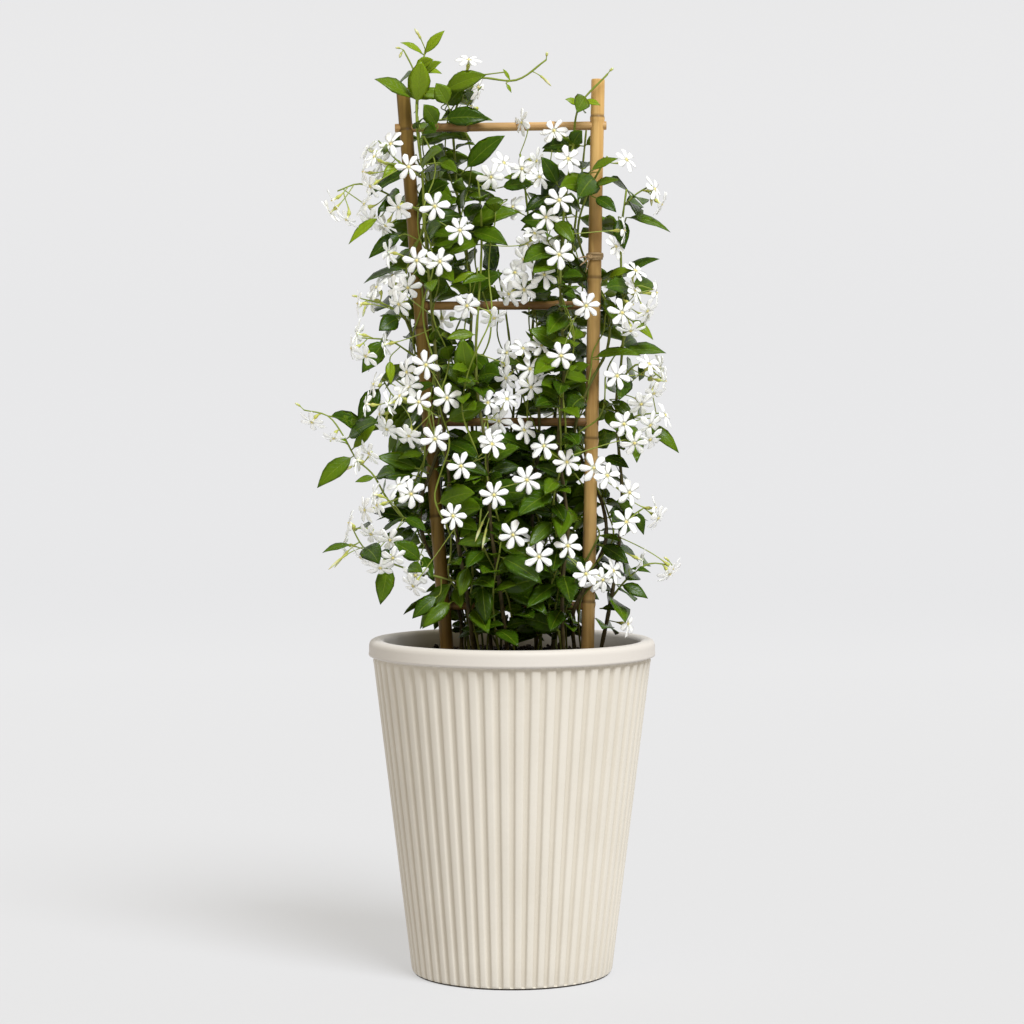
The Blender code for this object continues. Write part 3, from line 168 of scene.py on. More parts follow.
# Side shoots: the vine that each leaves, then its places
SHOOTS = (
    ("vine_left_twine", (-97, 642, -16), (-128, 667, -18), (-150, 671, -18)),
    ("vine_left_twine", (-97, 604, -18), (-124, 630, -24), (-150, 632, -26)),
    ("vine_left_twine", (-100, 558, -14), (-117, 572, -16), (-130, 592, -14)),
    ("vine_left_twine", (-104, 760, -12), (-130, 778, -14), (-160, 786, -16), (-174, 778, -16)),
    ("vine_left_front", (-90, 790, -30), (-110, 806, -24), (-125, 815, -14), (-133, 828, -8)),
    ("vine_left_twine", (-80, 425, -30), (-117, 460, -44), (-142, 500, -40), (-157, 513, -36), (-172, 540, -34),
     (-187, 556, -34), (-208, 560, -34)),
    ("vine_left_front", (-60, 383, -42), (-114, 404, -50), (-152, 425, -44), (-161, 444, -42)),
    ("vine_left_front", (-92, 885, -14), (-101, 905, -14), (-108, 918, -14)),
    ("vine_left_inner", (-52, 868, 6), (-47, 888, 12), (-45, 900, 14)),
    ("vine_left_back", (-80, 560, 56), (-102, 580, 82), (-116, 590, 98)),
    ("vine_right_outer", (98, 370, -22), (123, 398, -24), (150, 410, -24), (161, 404, -24)),
    ("vine_right_outer", (108, 442, -24), (120, 454, -28), (132, 462, -30)),
    ("vine_right_outer", (106, 590, -14), (120, 604, -20), (138, 605, -20), (149, 592, -20)),
    ("vine_right_outer", (112, 765, -10), (125, 776, -12), (139, 784, -12)),
    ("vine_right_outer", (110, 672, -16), (125, 684, -18), (141, 680, -18)),
    ("vine_right_outer", (105, 545, -16), (130, 556, -20), (150, 557, -20)),
    ("vine_right_outer", (110, 728, -16), (111, 744, -22), (114, 752, -22)),
    ("vine_right_back", (50, 650, 54), (78, 662, 82), (92, 668, 98)),
    ("vine_middle_back", (-6, 500, 54), (-22, 512, 82), (-30, 520, 98)),
)

# Leaves that show: foot and tip, each across, up and deep, then width and how far the face turns to the front
SHOWN_LEAVES = (
    (-98, 868, -22, -137, 889, -30, 22, 0.5), (-92, 864, -22, -91, 908, -34, 24, 0.9),
    (-88, 913, -8, -67, 937, -12, 11, 0.8), (-88, 915, -8, -111, 925, -8, 9, 0.5),
    (-90, 893, -12, -70, 906, -26, 13, 0.6), (-72, 875, 4, -29, 893, -8, 19, 0.4),
    (-70, 862, 6, -45, 876, -10, 15, 0.6), (-64, 846, 0, -19, 848, -16, 19, 0.5),
    (-74, 842, -26, -88, 864, -42, 19, 0.9), (-48, 798, -14, -7, 833, -26, 23, 0.75),
    (-72, 806, -30, -54, 796, -48, 14, 0.7), (-45, 742, -20, 8, 757, -24, 25, 0.6),
    (-42, 738, -30, -4, 724, -52, 22, 0.7), (-132, 752, -18, -163, 725, -24, 12, 0.6),
    (-109, 735, -16, -143, 711, -30, 17, 0.7), (-104, 770, -14, -134, 757, -34, 18, 0.7),
    (-112, 806, -10, -129, 790, -22, 12, 0.7), (68, 864, -14, 53, 869, -18, 8, 0.7),
    (72, 867, -14, 88, 863, -20, 8, 0.7), (-2, 888, -2, -9, 899, -2, 4, 0.8), (-2, 888, -2, 3, 879, -4, 4, 0.8),
    (56, 822, -26, 70, 838, -38, 17, 0.9), (46, 783, -30, 29, 812, -44, 18, 0.8), (22, 786, 0, -9, 791, -14, 13, 0.7),
    (80, 800, -20, 109, 813, -28, 14, 0.5), (78, 780, -20, 107, 789, -30, 14, 0.5),
    (114, 752, -22, 158, 737, -26, 18, 0.4), (106, 752, -18, 112, 720, -28, 18, 0.9),
    (82, 772, -20, 104, 757, -34, 16, 0.7), (36, 773, -20, 13, 757, -30, 15, 0.7),
    (42, 748, -36, 62, 726, -50, 20, 0.7), (78, 687, -20, 118, 704, -28, 16, 0.5),
    (88, 680, -22, 112, 689, -34, 13, 0.6), (92, 672, -20, 105, 645, -30, 14, 0.8),
    (80, 612, -20, 129, 614, -28, 19, 0.45), (118, 650, -16, 141, 630, -20, 12, 0.6),
    (30, 668, -20, 58, 677, -40, 19, 0.6), (56, 620, -40, 16, 640, -52, 23, 0.7),
    (50, 570, -42, 8, 584, -50, 23, 0.7), (98, 570, -16, 123, 550, -24, 14, 0.7),
    (133, 546, -20, 167, 517, -24, 17, 0.6), (94, 560, -20, 106, 538, -34, 15, 0.8),
    (90, 512, -24, 117, 502, -36, 16, 0.6), (106, 535, -18, 129, 520, -30, 13, 0.7),
    (88, 425, -24, 117, 406, -38, 18, 0.7), (88, 434, -20, 109, 428, -36, 10, 0.5),
    (106, 387, -24, 134, 373, -28, 15, 0.6), (88, 362, -20, 113, 359, -36, 12, 0.5),
    (118, 401, -24, 139, 397, -30, 9, 0.4), (122, 460, -28, 132, 435, -32, 11, 0.8),
    (-112, 652, -18, -133, 639, -32, 20, 0.85), (-124, 628, -24, -150, 597, -30, 23, 0.85),
    (-122, 610, -22, -121, 585, -28, 11, 0.6), (-131, 584, -16, -154, 546, -22, 21, 0.8),
    (-157, 518, -36, -136, 545, -44, 13, 0.6), (-160, 526, -36, -175, 528, -40, 8, 0.5),
    (-160, 514, -36, -195, 482, -42, 20, 0.75), (-92, 500, -28, -136, 513, -42, 20, 0.7),
    (-96, 494, -28, -130, 492, -48, 18, 0.7), (-136, 490, -40, -157, 488, -46, 9, 0.6),
    (-50, 672, -30, -6, 694, -36, 24, 0.75), (-44, 588, -44, -50, 632, -58, 25, 0.95),
    (-34, 582, -40, -12, 609, -52, 16, 0.8), (-28, 510, -48, 8, 523, -62, 18, 0.7),
    (-160, 425, -44, -190, 417, -48, 12, 0.4), (-122, 402, -50, -132, 365, -54, 20, 0.85),
    (-90, 408, -46, -119, 428, -60, 20, 0.75), (-92, 418, -34, -82, 394, -56, 14, 0.8),
    (-74, 374, -44, -100, 351, -54, 18, 0.8), (-60, 368, -44, -90, 341, -60, 18, 0.85),
    (-30, 386, -52, -26, 345, -68, 20, 0.95), (-44, 404, -46, -52, 372, -62, 17, 0.9),
)

# Pale green buds: foot and tip, across, up and deep
BUDS = (
    (-86, 918, -6, -97, 939, -8), (-108, 918, -14, -112, 910, -16), (-108, 918, -14, -116, 920, -14),
    (-150, 671, -18, -160, 674, -18), (-146, 670, -18, -153, 662, -18), (-142, 669, -18, -149, 653, -20),
    (-208, 560, -34, -217, 567, -34), (-200, 560, -34, -210, 549, -34), (-192, 558, -34, -196, 543, -34),
    (-174, 542, -34, -182, 528, -36), (-150, 506, -38, -167, 500, -40), (-152, 424, -44, -178, 402, -46),
    (-148, 424, -44, -184, 400, -48), (-32, 460, -54, -37, 428, -64), (-30, 455, -54, -30, 420, -64),
    (34, 908, -4, 35, 916, -4), (22, 887, -4, 39, 882, -6), (139, 784, -12, 139, 763, -12),
    (149, 592, -20, 139, 578, -20), (120, 604, -20, 124, 582, -22), (161, 404, -24, 152, 413, -24),
    (112, 470, -22, 112, 441, -26), (95, 894, -14, 101, 900, -14),
)

# Sprays of open flowers: across, up and deep, turn to the right of the front, lift, and petals where not six
SPRAYS = (
    ((-103, 802, -62, 0, 5), (-137, 812, -30, -55, 35), (-148, 797, -26, -80, 10), (-141, 783, -40, -50, -30)),
    ((-179, 769, -24, -85, -25), (-165, 750, -26, -60, -55)),
    ((-113, 762, -64, -25, -30), (-77, 763, -68, 5, 0), (-52, 739, -72, 10, 5, 7)),
    ((-21, 792, -52, 20, -20), (-8, 806, -28, 40, 30)), ((-45, 905, 14, 10, 60), (-36, 878, 10, 60, -10)),
    ((-95, 709, -64, -15, 0), (-72, 708, -68, 5, 0), (-117, 681, -40, -50, -10)),
    ((-160, 622, -40, -80, -10), (-146, 614, -50, -40, -40)),
    ((-86, 605, -62, 0, 0), (-105, 598, -48, -45, -10), (-65, 572, -70, 5, 0)),
    ((-93, 568, -64, -30, 20), (-112, 574, -48, -60, 30), (-77, 531, -68, 0, 0), (-103, 533, -54, -30, -35)),
    ((-45, 664, -62, 0, -15), (-18, 652, -50, 20, -50)), ((-51, 504, -76, 0, 5), (-20, 526, -70, 25, 25)),
    ((-200, 548, -36, -40, -50),), ((-132, 556, -34, -70, 0), (-125, 541, -44, -40, -40)),
    ((-101, 476, -74, 5, -5), (-113, 484, -58, -35, 35), (-135, 465, -56, -60, -10)),
    ((-163, 447, -46, -80, 15), (-141, 436, -62, -30, -45)), ((-141, 409, -54, -30, -50), (-152, 414, -40, -70, -45)),
    ((-59, 454, -78, 0, 5, 7), (-99, 384, -62, -40, -40)), ((-18, 475, -82, 5, 0, 7), (15, 490, -80, 0, 5, 7)),
    ((1, 435, -84, -5, 0), (27, 413, -86, 5, -5), (20, 430, -60, 30, 50)),
    ((10, 800, -22, -30, 20), (41, 836, 20, 0, 40), (56, 810, -46, 20, 10)),
    ((15, 725, -34, -30, 10), (34, 752, -56, -10, 25), (47, 769, -66, 5, 5), (47, 715, -70, 0, 0)),
    ((3, 697, -36, -20, 20), (12, 680, -48, 10, -10), (-3, 676, -34, -40, -25), (32, 695, -52, 20, 15)),
    ((-5, 617, -30, -40, 20), (-6, 592, -36, -30, -25), (18, 601, -50, 0, 20), (19, 583, -60, 20, -30)),
    ((-13, 549, -38, -20, -5), (-5, 571, -44, 10, 40)), ((114, 809, -22, 40, 25),),
    ((142, 780, -18, 60, 20), (149, 765, -24, 80, -30)), ((74, 664, -70, 5, -5, 7), (49, 614, -72, 0, 0)),
    ((144, 677, -26, 75, 5), (110, 657, -50, 20, 5), (135, 659, -40, 50, -35), (123, 699, -36, 40, 40)),
    ((153, 589, -26, 85, -5), (137, 606, -34, 40, 45), (105, 594, -48, 10, 10)),
    ((153, 555, -28, 70, 20), (138, 545, -42, 40, -30), (112, 546, -50, 10, 0)),
    ((55, 508, -74, 0, 5, 7), (82, 502, -60, 10, 0), (32, 524, -66, -25, 30)),
    ((93, 493, -62, 20, 15), (115, 476, -48, 30, 0), (141, 461, -34, 80, 10)),
    ((56, 424, -78, 0, 10), (74, 396, -74, 5, 0), (91, 390, -60, 30, -20)), ((162, 400, -26, 75, -40),),
    ((-60, 700, 84, 170, 10), (-84, 680, 80, 200, 0), (-70, 650, 86, 180, -10)),
    ((62, 704, 92, 180, 10), (88, 690, 96, 160, 0), (100, 652, 90, 140, -20)),
    ((-20, 540, 92, 180, 0), (10, 520, 94, 175, 10), (44, 560, 90, 170, 20)),
    ((-110, 560, 96, 210, 10), (-90, 520, 92, 190, -10)),
)
FLOWER_RADIUS = 0.0152
PETAL = 0.0008
PETAL_SHARE = 0.23
NOTCH_SHARE = 0.30
BLUNT_BEYOND = -0.96

# The plant's outline from the front: height, left edge, inner edges of the two columns, right edge
OUTLINE = np.array((
    (330, -100, 0, 0, 118), (380, -132, 0, 0, 134), (430, -170, 0, 0, 146), (520, -165, 0, 0, 160),
    (600, -152, -4, 0, 160), (680, -150, -16, 2, 152), (760, -150, -10, 0, 150), (815, -135, -20, 6, 112),
    (870, -128, -28, 40, 96), (930, -105, -60, 60, 90),
), float)

# What the looks add to the layout
PETALS = 6
SPRAY_TRIES = 80
LEAF_TRIES = 40
BEHIND_FLOWER = 0.016
STEMS_ABOVE = POT_HEIGHT - 0.006
FAR = 9
POT_CLEAR = 0.012
FINE_SEED = 23
MORE_SEED = 37
LOW_INTERNODE = 0.017
HIGH_INTERNODE = 0.032
DENSE_BELOW = 0.54
MORE_LEAF_SIZES = (0.55, 1.15)
COMPANIONS = 2
COMPANION_RADIUS = 0.0011
WANDER = 0.0055
BARE_VINES = ("vine_right_outer",)

# Where else a flower is tried when there is no room for it: across, up and back, in millimetres
NUDGES = (
    (0, 0, 0), (0, 0, -9), (0, 0, 9), (0, 0, -18), (-7, 0, -4), (7, 0, -4), (0, 7, -6), (0, -7, -6), (0, 0, 20),
    (0, 0, -28),
)

# Leaves that the photo shows large and that only the looks add, in the rows' order of SHOWN_LEAVES
MORE_LEAVES = (
    (-72, 877, -10, -29, 893, -18, 22, 0.85), (-68, 851, -24, -21, 851, -30, 23, 0.85),
    (-64, 860, -8, -46, 880, -16, 19, 0.85), (-12, 781, -12, 21, 784, -16, 15, 0.85),
    (-6, 768, -10, -31, 756, -16, 15, 0.85), (-72, 846, -10, -84, 868, -18, 20, 0.9),
)

# Gaps in the added leaves: left, low, right and high edges
NO_LEAVES = (
    (-76, 536, 60, 556), (-84, 654, -10, 673), (-124, 568, -104, 656), (-144, 512, -124, 542), (-126, 368, -100, 418),
    (96, 772, 113, 806), (92, 692, 136, 738), (-34, 694, 8, 722), (100, 584, 122, 624), (100, 500, 132, 522),
)

# The leaves' outline from the front, in the same numbers as OUTLINE but finer
FINE_OUTLINE = np.array((
    (350, -112, 0, 0, 116), (370, -100, 0, 0, 110), (390, -127, 0, 0, 123), (410, -140, 0, 0, 138),
    (430, -160, 0, 0, 113), (450, -158, 0, 0, 124), (470, -142, 0, 0, 128), (490, -132, 0, 0, 110),
    (510, -134, 0, 0, 110), (530, -152, 0, 0, 128), (550, -160, -6, 12, 150), (570, -150, -14, 16, 128),
    (590, -140, -18, 12, 136), (603, -142, -4, -4, 126), (612, -150, -40, 12, 122), (635, -150, -44, 12, 128),
    (650, -134, -40, 18, 138), (664, -142, -8, -8, 132), (690, -137, -8, -8, 120), (710, -134, -40, -12, 116),
    (730, -142, -32, -4, 106), (750, -156, -12, 20, 128), (770, -152, 5, 15, 148), (790, -150, 0, 0, 142),
    (810, -148, -25, 3, 120), (830, -140, -25, 18, 106), (850, -127, 6, 30, 92), (870, -120, -30, 60, 90),
    (890, -127, -32, 73, 86), (910, -122, -60, 73, 86), (940, -112, -72, 90, 90),
), float)

# Flowers that only the looks have, in the same numbers as SPRAYS
MORE_FLOWERS = (
    (-181, 757, -24, -105, -35), (-128, 742, -10, -120, -20), (-126, 744, -34, -60, -50), (-139, 818, -18, -105, 40),
    (-120, 828, -16, -30, 30), (-130, 806, 10, -120, 10), (-124, 716, -20, -120, 0), (-106, 682, -38, 10, -25),
    (-120, 698, -24, -20, 55), (-114, 667, -40, -40, -25), (-154, 636, -34, -105, 10), (-129, 623, -34, -105, -10),
    (-106, 582, -40, -20, 40), (-120, 566, -40, -105, -20), (-128, 545, -40, -40, -70), (-104, 533, -50, -30, -50),
    (-179, 532, -36, -20, -65), (-143, 517, -46, -60, -30), (-152, 512, -36, -105, 10), (-138, 472, -56, -100, 10),
    (-147, 460, -50, -60, -10), (-122, 430, -56, -20, -30), (-132, 402, -58, 0, -50), (-118, 412, -58, 20, -30),
    (24, 808, -26, 60, -20), (27, 793, -30, 20, 20), (26, 736, -34, 20, 50), (14, 708, -40, -30, -20),
    (10, 622, -40, 20, 50), (32, 624, -48, 20, 40), (-10, 604, -26, -100, 0), (22, 590, -54, 0, -35),
    (136, 656, -34, 100, -10), (118, 640, -46, 10, -60), (139, 577, -34, 30, -50), (129, 566, -40, 20, -30),
    (136, 532, -40, 30, -40), (120, 528, -48, 0, -20), (143, 450, -38, 60, -30), (158, 396, -28, 50, -50),
    (-147, 765, -20, -70, 30), (-140, 752, -10, -40, -30), (-138, 790, -10, -110, 20), (-134, 684, -24, -60, 30),
    (-120, 690, -10, -100, -30), (-152, 662, -30, -80, 0), (-140, 670, -10, -120, 10), (-136, 586, -30, -70, 20),
    (-143, 570, -30, -100, 10), (-168, 428, -40, -95, 10), (-98, 396, -50, 0, -20), (106, 724, -30, 50, 20),
    (112, 738, -20, 80, 0), (124, 682, -30, 60, 30), (120, 664, -30, 90, -20), (146, 600, -20, 110, 0),
    (140, 590, -20, 90, 0), (114, 448, -40, 20, 20), (130, 410, -30, 90, -20), (84, 388, -60, 10, -30),
    (102, 396, -50, 50, 20), (116, 346, -40, 60, 0), (-2, 762, -20, -40, 30), (36, 722, -34, 20, 30),
    (-20, 566, -40, 0, 30), (-20, 532, -50, -20, 40), (12, 540, -50, 30, 20), (-40, 862, -10, -80, 20),
    (42, 838, -20, -20, 20), (14, 842, -10, -60, 0),
)

# The fine pot: places across a rib, then profiles in millimetres: out from a radius, up from a height, rib's share
RIB_STOPS = np.array((-0.5, -0.42, -0.375, -0.335, -0.29, -0.23, -0.15, -0.05,
                      0.05, 0.15, 0.23, 0.29, 0.335, 0.375, 0.42))
FOOT_PROFILE = ((-14, 1.5, 0), (-12.5, 0.2, 0), (-11, 0, 0), (-2.6, 0, 0), (-2, 0.4, 0), (-1.9, 1.6, 0),
                (-1.2, 1.7, 0.3), (-0.5, 2.1, 0.8), (0, 3, 1))
WALL_TOP_PROFILE = ((-0.3, -4.5, 1), (-0.9, -2.4, 0.8), (-2, -0.9, 0.4))
RIM_LOW_PROFILE = ((-4.5, -0.2, 0), (-1.2, 0, 0), (-0.1, 0.5, 0), (0.4, 1.5, 0), (0.3, 2.6, 0), (0, 4.2, 0))
RIM_TOP_PROFILE = ((0, -6, 0), (-0.5, -3.6, 0), (-1.7, -1.6, 0), (-4, -0.3, 0), (-6, 0, 0))
LIP_PROFILE = ((6, 0, 0), (3.2, -0.5, 0), (1, -2, 0), (0, -4.5, 0))
DRAIN_SIDES = 36

# Fine soil, canes and tie, whose tails are in millimetres from the knot
SOIL_RINGS = 42
SOIL_SIDES = 200
SOIL_WAVES = 16
LUMP_EDGE = 1.0515
CANE_SIDES = 28
CANE_STEP = 0.012
NODE_STOPS = np.array((-9, -5, -3, -1.6, -0.8, 0, 0.8, 1.6, 3, 5, 9)) / 1000
RUNG_NODES = (0.13, 0.41, 0.72)
STRANDS = 4
KNOT = np.array((-0.0052, -0.0084, -0.0006))
RAFFIA_TAILS = (((-4, -1, -4), (-10, -3, -9)), ((-2, -2, -7), (-4, -3, -16)), ((-6, 0, 0), (-12, -1, -2)))
UPRIGHT_GRAIN = (240, 240, 9)
LYING_GRAIN = (9, 260, 260)
NODE_LINE = (0.045, 0.022, 0.010)
SAWN_END = (0.42, 0.27, 0.13)
# Painted shade: the inside of a hollow cane end is coloured near black for the shade down the hollow.
HOLLOW_SHADE = (0.05, 0.028, 0.014)

# Fine leaves and flowers. A profile is where along it and how thick in radius.
YOUNG_STEM = (0.0, 0.8)
YOUNG_SHOOT = (0.45, 1.0)
LEAF_STATIONS = np.array((0.0, 0.09, 0.19, 0.34, 0.52, 0.70, 0.87, 1.0))
LEAF_ACROSS = np.array((-1.0, -0.55, 0.0, 0.55, 1.0))
LEAF_BASE = 0.09
LEAF_STALK_HALF = 0.0006
LEAF_THICKNESS = 0.0005
SIDE_VEINS = 8.5
PETAL_STATIONS = np.array((0.0, 0.22, 0.45, 0.66, 0.82, 0.93, 1.0))
PETAL_ACROSS = np.array((-1.0, -0.4, 0.4, 1.0))
PETAL_THICKNESS = 0.0004
TUBE_PROFILE = ((0.0, 0.0012, 0.0030, 0.0050, 0.0055, 0.0075, 0.0110, 0.016),
                (0.0019, 0.0012, 0.0010, 0.0012, 0.0020, 0.0021, 0.0010, 0.00055))
BUD_PROFILE = (np.array((0, 0.15, 0.30, 0.42, 0.48, 0.55, 0.62, 0.74, 0.86, 0.95, 1.0)),
               np.array((0.6, 0.5, 0.5, 0.6, 1.25, 1.2, 1.0, 1.45, 1.2, 0.6, 0.12)) / 1000)
FLOWER_PIECES = 10

# Stage: the key light's size and direction in degrees, the lens in millimetres, and the rest in metres
KEY_SIZE = 28
KEY_FROM = (29, 52)
CAMERA_LENS = 103.7
CAMERA_AIM = 0.4625
BACKDROP_AT = 3.0
BACKDROP_BEND = 2.5

Leaf = namedtuple("Leaf", "foot bend tip face width root", defaults=(None,))
Flower = namedtuple("Flower", "centre axis radius petals spin stalk")
Tube = namedtuple("Tube", "line start end")
Growth = namedtuple("Growth", "starts internode tries scatter make inside shares")
UP = np.array((0, 0, 1.0))


def unit(vector):
    """The vector at length 1."""
    return vector / np.linalg.norm(vector)


def angles(count):
    """Angles that go evenly round a circle."""
    return np.arange(count) * 2 * pi / count


def circle(across, up, angle):
    """Points at the angles of a unit circle, for each pair of directions across its axis."""
    return across[..., None, :] * np.cos(angle)[:, None] + up[..., None, :] * np.sin(angle)[:, None]


def side_faces(base, rows):
    """Triangles round a three-sided tube of so many rows of points."""
    corners = [(base + 3 * row + k, base + 3 * row + (k + 1) % 3) for row in range(rows - 1) for k in range(3)]
    return [face for a, b in corners for face in ((a, b, b + 3), (a, b + 3, a + 3))]


def place(x, z, y):
    """The point that the front view shows x across and z up, in millimetres, and that lies y deep."""
    nearer = 1 + y / 1000 / VIEW_DISTANCE
    height = (z + VIEW_FOOT) / 1000
    return np.array((x / 1000 * nearer, y / 1000, EYE_HEIGHT + (height - EYE_HEIGHT) * nearer))


def curve_through(points, step):
    """Points about step apart on the Catmull-Rom curve through the given ones."""
    points = np.asarray(points, float)
    ends = np.vstack((2 * points[0] - points[1], points, 2 * points[-1] - points[-2]))
    share = np.linspace(0, 1, 12, endpoint=False)[:, None]
    runs = []
    for a, b, c, d in zip(ends, ends[1:], ends[2:], ends[3:]):
        runs.append(0.5 * (2 * b + (c - a) * share + (2 * a - 5 * b + 4 * c - d) * share**2
                           + (3 * b - a - 3 * c + d) * share**3))
    return spaced(np.vstack((*runs, points[-1:])), step)


def lengths(line):
    """How far along a line each of its points is."""
    return np.r_[0, np.cumsum(np.linalg.norm(np.diff(line, axis=0), axis=1))]


def spaced(line, step):
    """Points about step apart along a line's straight runs."""
    along = lengths(line)
    stops = np.linspace(0, along[-1], max(3, round(along[-1] / step) + 1))
    return np.stack([np.interp(stops, along, line[:, k]) for k in range(3)], axis=1)


def frames(line, side=None):
    """Two directions across a line at each of its points, carried along without twist."""
    heading = np.gradient(line, axis=0)
    heading /= np.linalg.norm(heading, axis=1)[:, None]
    across = np.zeros_like(line)
    if side is None:
        side = np.array((1.0, 0, 0)) if abs(heading[0][0]) < 0.8 else np.array((0, 1.0, 0))
    for i, ahead in enumerate(heading):
        side = unit(side - ahead * (side @ ahead))
        across[i] = side
    return across, np.cross(heading, across)


def tube(line, start, end, sides, grow=0.0):
    """Points and faces of a closed tube along a line, from the start radius to the end radius."""
    line = np.asarray(line, float)
    radius = np.linspace(start, end, len(line))[:, None, None] + grow
    points = (line[:, None] + circle(*frames(line), angles(sides)) * radius).reshape(-1, 3)
    faces = [tuple(range(sides))[::-1], tuple(range(len(points) - sides, len(points)))]
    for row in range(len(line) - 1):
        for k in range(sides):
            a, b = row * sides + k, row * sides + (k + 1) % sides
            faces.append((a, b, b + sides, a + sides))
    return points, faces


def leaf_at(leaf, share):
    """Place, heading, side and face direction of a leaf's midrib at a share of its length."""
    foot, bend, tip = leaf.foot, leaf.bend, leaf.tip
    at = (1 - share) ** 2 * foot + 2 * share * (1 - share) * bend + share**2 * tip
    heading = unit((1 - share) * (bend - foot) + share * (tip - bend))
    side = unit(np.cross(heading, leaf.face))
    return at, side, np.cross(side, heading)


def blade_width(share):
    """Share of a leaf's full width at a share of its length: an oval with a drawn-out tip."""
    return sin(pi * share**0.82) ** 0.85


def squared(heading, side, face):
    """The side and face directions nearest to the given ones that lie across a heading."""
    if abs(heading @ side) < 0.75:
        side = unit(side - heading * (heading @ side))
        return side, np.cross(side, heading)
    face = unit(face - heading * (heading @ face))
    return np.cross(heading, face), face


def blade(leaf, grow=0.0):
    """Points and faces of a leaf: a three-sided stalk, two wide rows with a keel below, and a tip."""
    at, side, face = leaf_at(leaf, 0.0)
    corners = ((-1, 0.5), (1, 0.5), (0, -0.5))
    rows = [(at, side, face, STALK_RADIUS, STALK_RADIUS * 2)]
    if leaf.root is not None:
        run, heading = unit(leaf.foot - leaf.root), np.cross(face, side)
        rows = [(leaf.root, *squared(run, side, face), STALK_RADIUS, STALK_RADIUS * 2),
                (at, *squared(unit(run + heading), side, face), STALK_RADIUS, STALK_RADIUS * 2)]
    for share in LEAF_ROWS:
        at, side, face = leaf_at(leaf, share)
        rows.append((at, side, face, leaf.width / 2 * blade_width(share), KEEL))
    points = []
    for at, side, face, half, thick in rows:
        points += [at + side * (half + grow) * a + face * (thick + 2 * grow) * b for a, b in corners]
    points.append(leaf.tip + unit(leaf.tip - leaf.bend) * grow)
    last = 3 * (len(rows) - 1)
    tips = [(last + k, last + (k + 1) % 3, last + 3) for k in range(3)]
    return points, [(0, 2, 1), *side_faces(0, len(rows)), *tips]


def flower_axes(flower):
    """Two directions across a flower's axis."""
    up = UP if abs(flower.axis[2]) < 0.9 else np.array((0, 1.0, 0))
    across = unit(np.cross(up, flower.axis))
    return across, np.cross(flower.axis, across)


def star(flower, grow=0.0):
    """Points and faces of an open flower on its stalk.

    Each petal is a notch and an end, blunt on the flowers that face the front. The stalk is three sided, runs
    back from the flower's middle, and its first ring is zipped to the petals' back.
    """
    across, up = flower_axes(flower)
    turn = 2 * pi / flower.petals
    thick = flower.axis * (PETAL / 2 + grow)
    blunt = flower.axis[1] < BLUNT_BEYOND
    ends = (-PETAL_SHARE, PETAL_SHARE) if blunt else (0.0,)
    points = [flower.centre + thick]
    faces, rim = [], []
    for k in range(flower.petals):
        for share, reach in ((-0.5, NOTCH_SHARE), *((end, 1.0) for end in ends)):
            angle = flower.spin + (k + share) * turn
            out = across * cos(angle) + up * sin(angle)
            at = flower.centre + out * (flower.radius * reach + grow)
            rim.append(len(points) + (share != -0.5))
            points += [at] if share == -0.5 else [at + thick, at - thick]
    step = 1 + 2 * len(ends)
    count = step * flower.petals
    for k in range(flower.petals):
        notch, following = 1 + step * k, 1 + (step * k + step) % count
        first, last = notch + 1, notch + step - 2
        faces += [(0, notch, first), (notch, first + 1, first), (0, last, following), (last, last + 1, following)]
        if blunt:
            faces += [(0, first, last), (first, first + 1, last + 1), (first, last + 1, last)]
    line = flower.stalk[::-1]
    across, up = frames(line, across)
    radius = np.linspace(TUBE_RADIUS, STALK_RADIUS, len(line))[:, None, None] + grow
    ring = circle(across, -up, flower.spin - angles(3))
    base = len(points)
    points += list((line[:, None] + ring * radius).reshape(-1, 3))
    inner = [base, base + 2, base + 1]
    i = j = 0
    while i < len(rim) or j < 3:
        if j == 3 or (i < len(rim) and (i + 0.5) / len(rim) < (j + 0.5) / 3):
            faces.append((rim[(i + 1) % len(rim)], rim[i], inner[j % 3]))
            i += 1
        else:
            faces.append((rim[i % len(rim)], inner[j], inner[(j + 1) % 3]))
            j += 1
    faces += side_faces(base, len(line))
    faces.append(tuple(range(len(points) - 3, len(points))))
    return points, faces


def wood():
    """The centre lines of the poles and rungs, each with its radius."""
    poles = [(pole_line(pole), POLE_RADIUS) for pole in (LEFT_POLE, RIGHT_POLE)]
    return poles + [(rung_line(rung), RUNG_RADIUS) for rung in RUNGS]


def bud(foot, tip, grow=0.0):
    """Points and faces of a slim three-sided bud that swells towards its end."""
    line = np.array((foot, foot + (tip - foot) * 0.72))
    points, faces = tube(line, STALK_RADIUS, BUD_RADIUS, 3, grow)
    points = [*points, tip]
    return points, [faces[0], *faces[2:], (3, 4, 6), (4, 5, 6), (5, 3, 6)]


class Taken:
    """The space that placed pieces fill, each with the name of its node."""

    def __init__(self):
        self.low = np.zeros((0, 3))
        self.high = np.zeros((0, 3))
        self.trees = []
        self.owners = []

    def add(self, owner, points, faces):
        points = np.asarray(points)
        self.low = np.vstack((self.low, points.min(0)))
        self.high = np.vstack((self.high, points.max(0)))
        self.trees.append(BVHTree.FromPolygons([tuple(p) for p in points], faces))
        self.owners.append(owner)

    def crosses(self, points, faces, but=()):
        """Whether a shape crosses any piece that isn't owned by one of the named nodes."""
        points = np.asarray(points)
        near = np.all((self.low <= points.max(0)) & (self.high >= points.min(0)), axis=1)
        tree = None
        for k in np.flatnonzero(near):
            if self.owners[k] in but:
                continue
            tree = tree or BVHTree.FromPolygons([tuple(p) for p in points], faces)
            if tree.overlap(self.trees[k]):
                return True
        return False


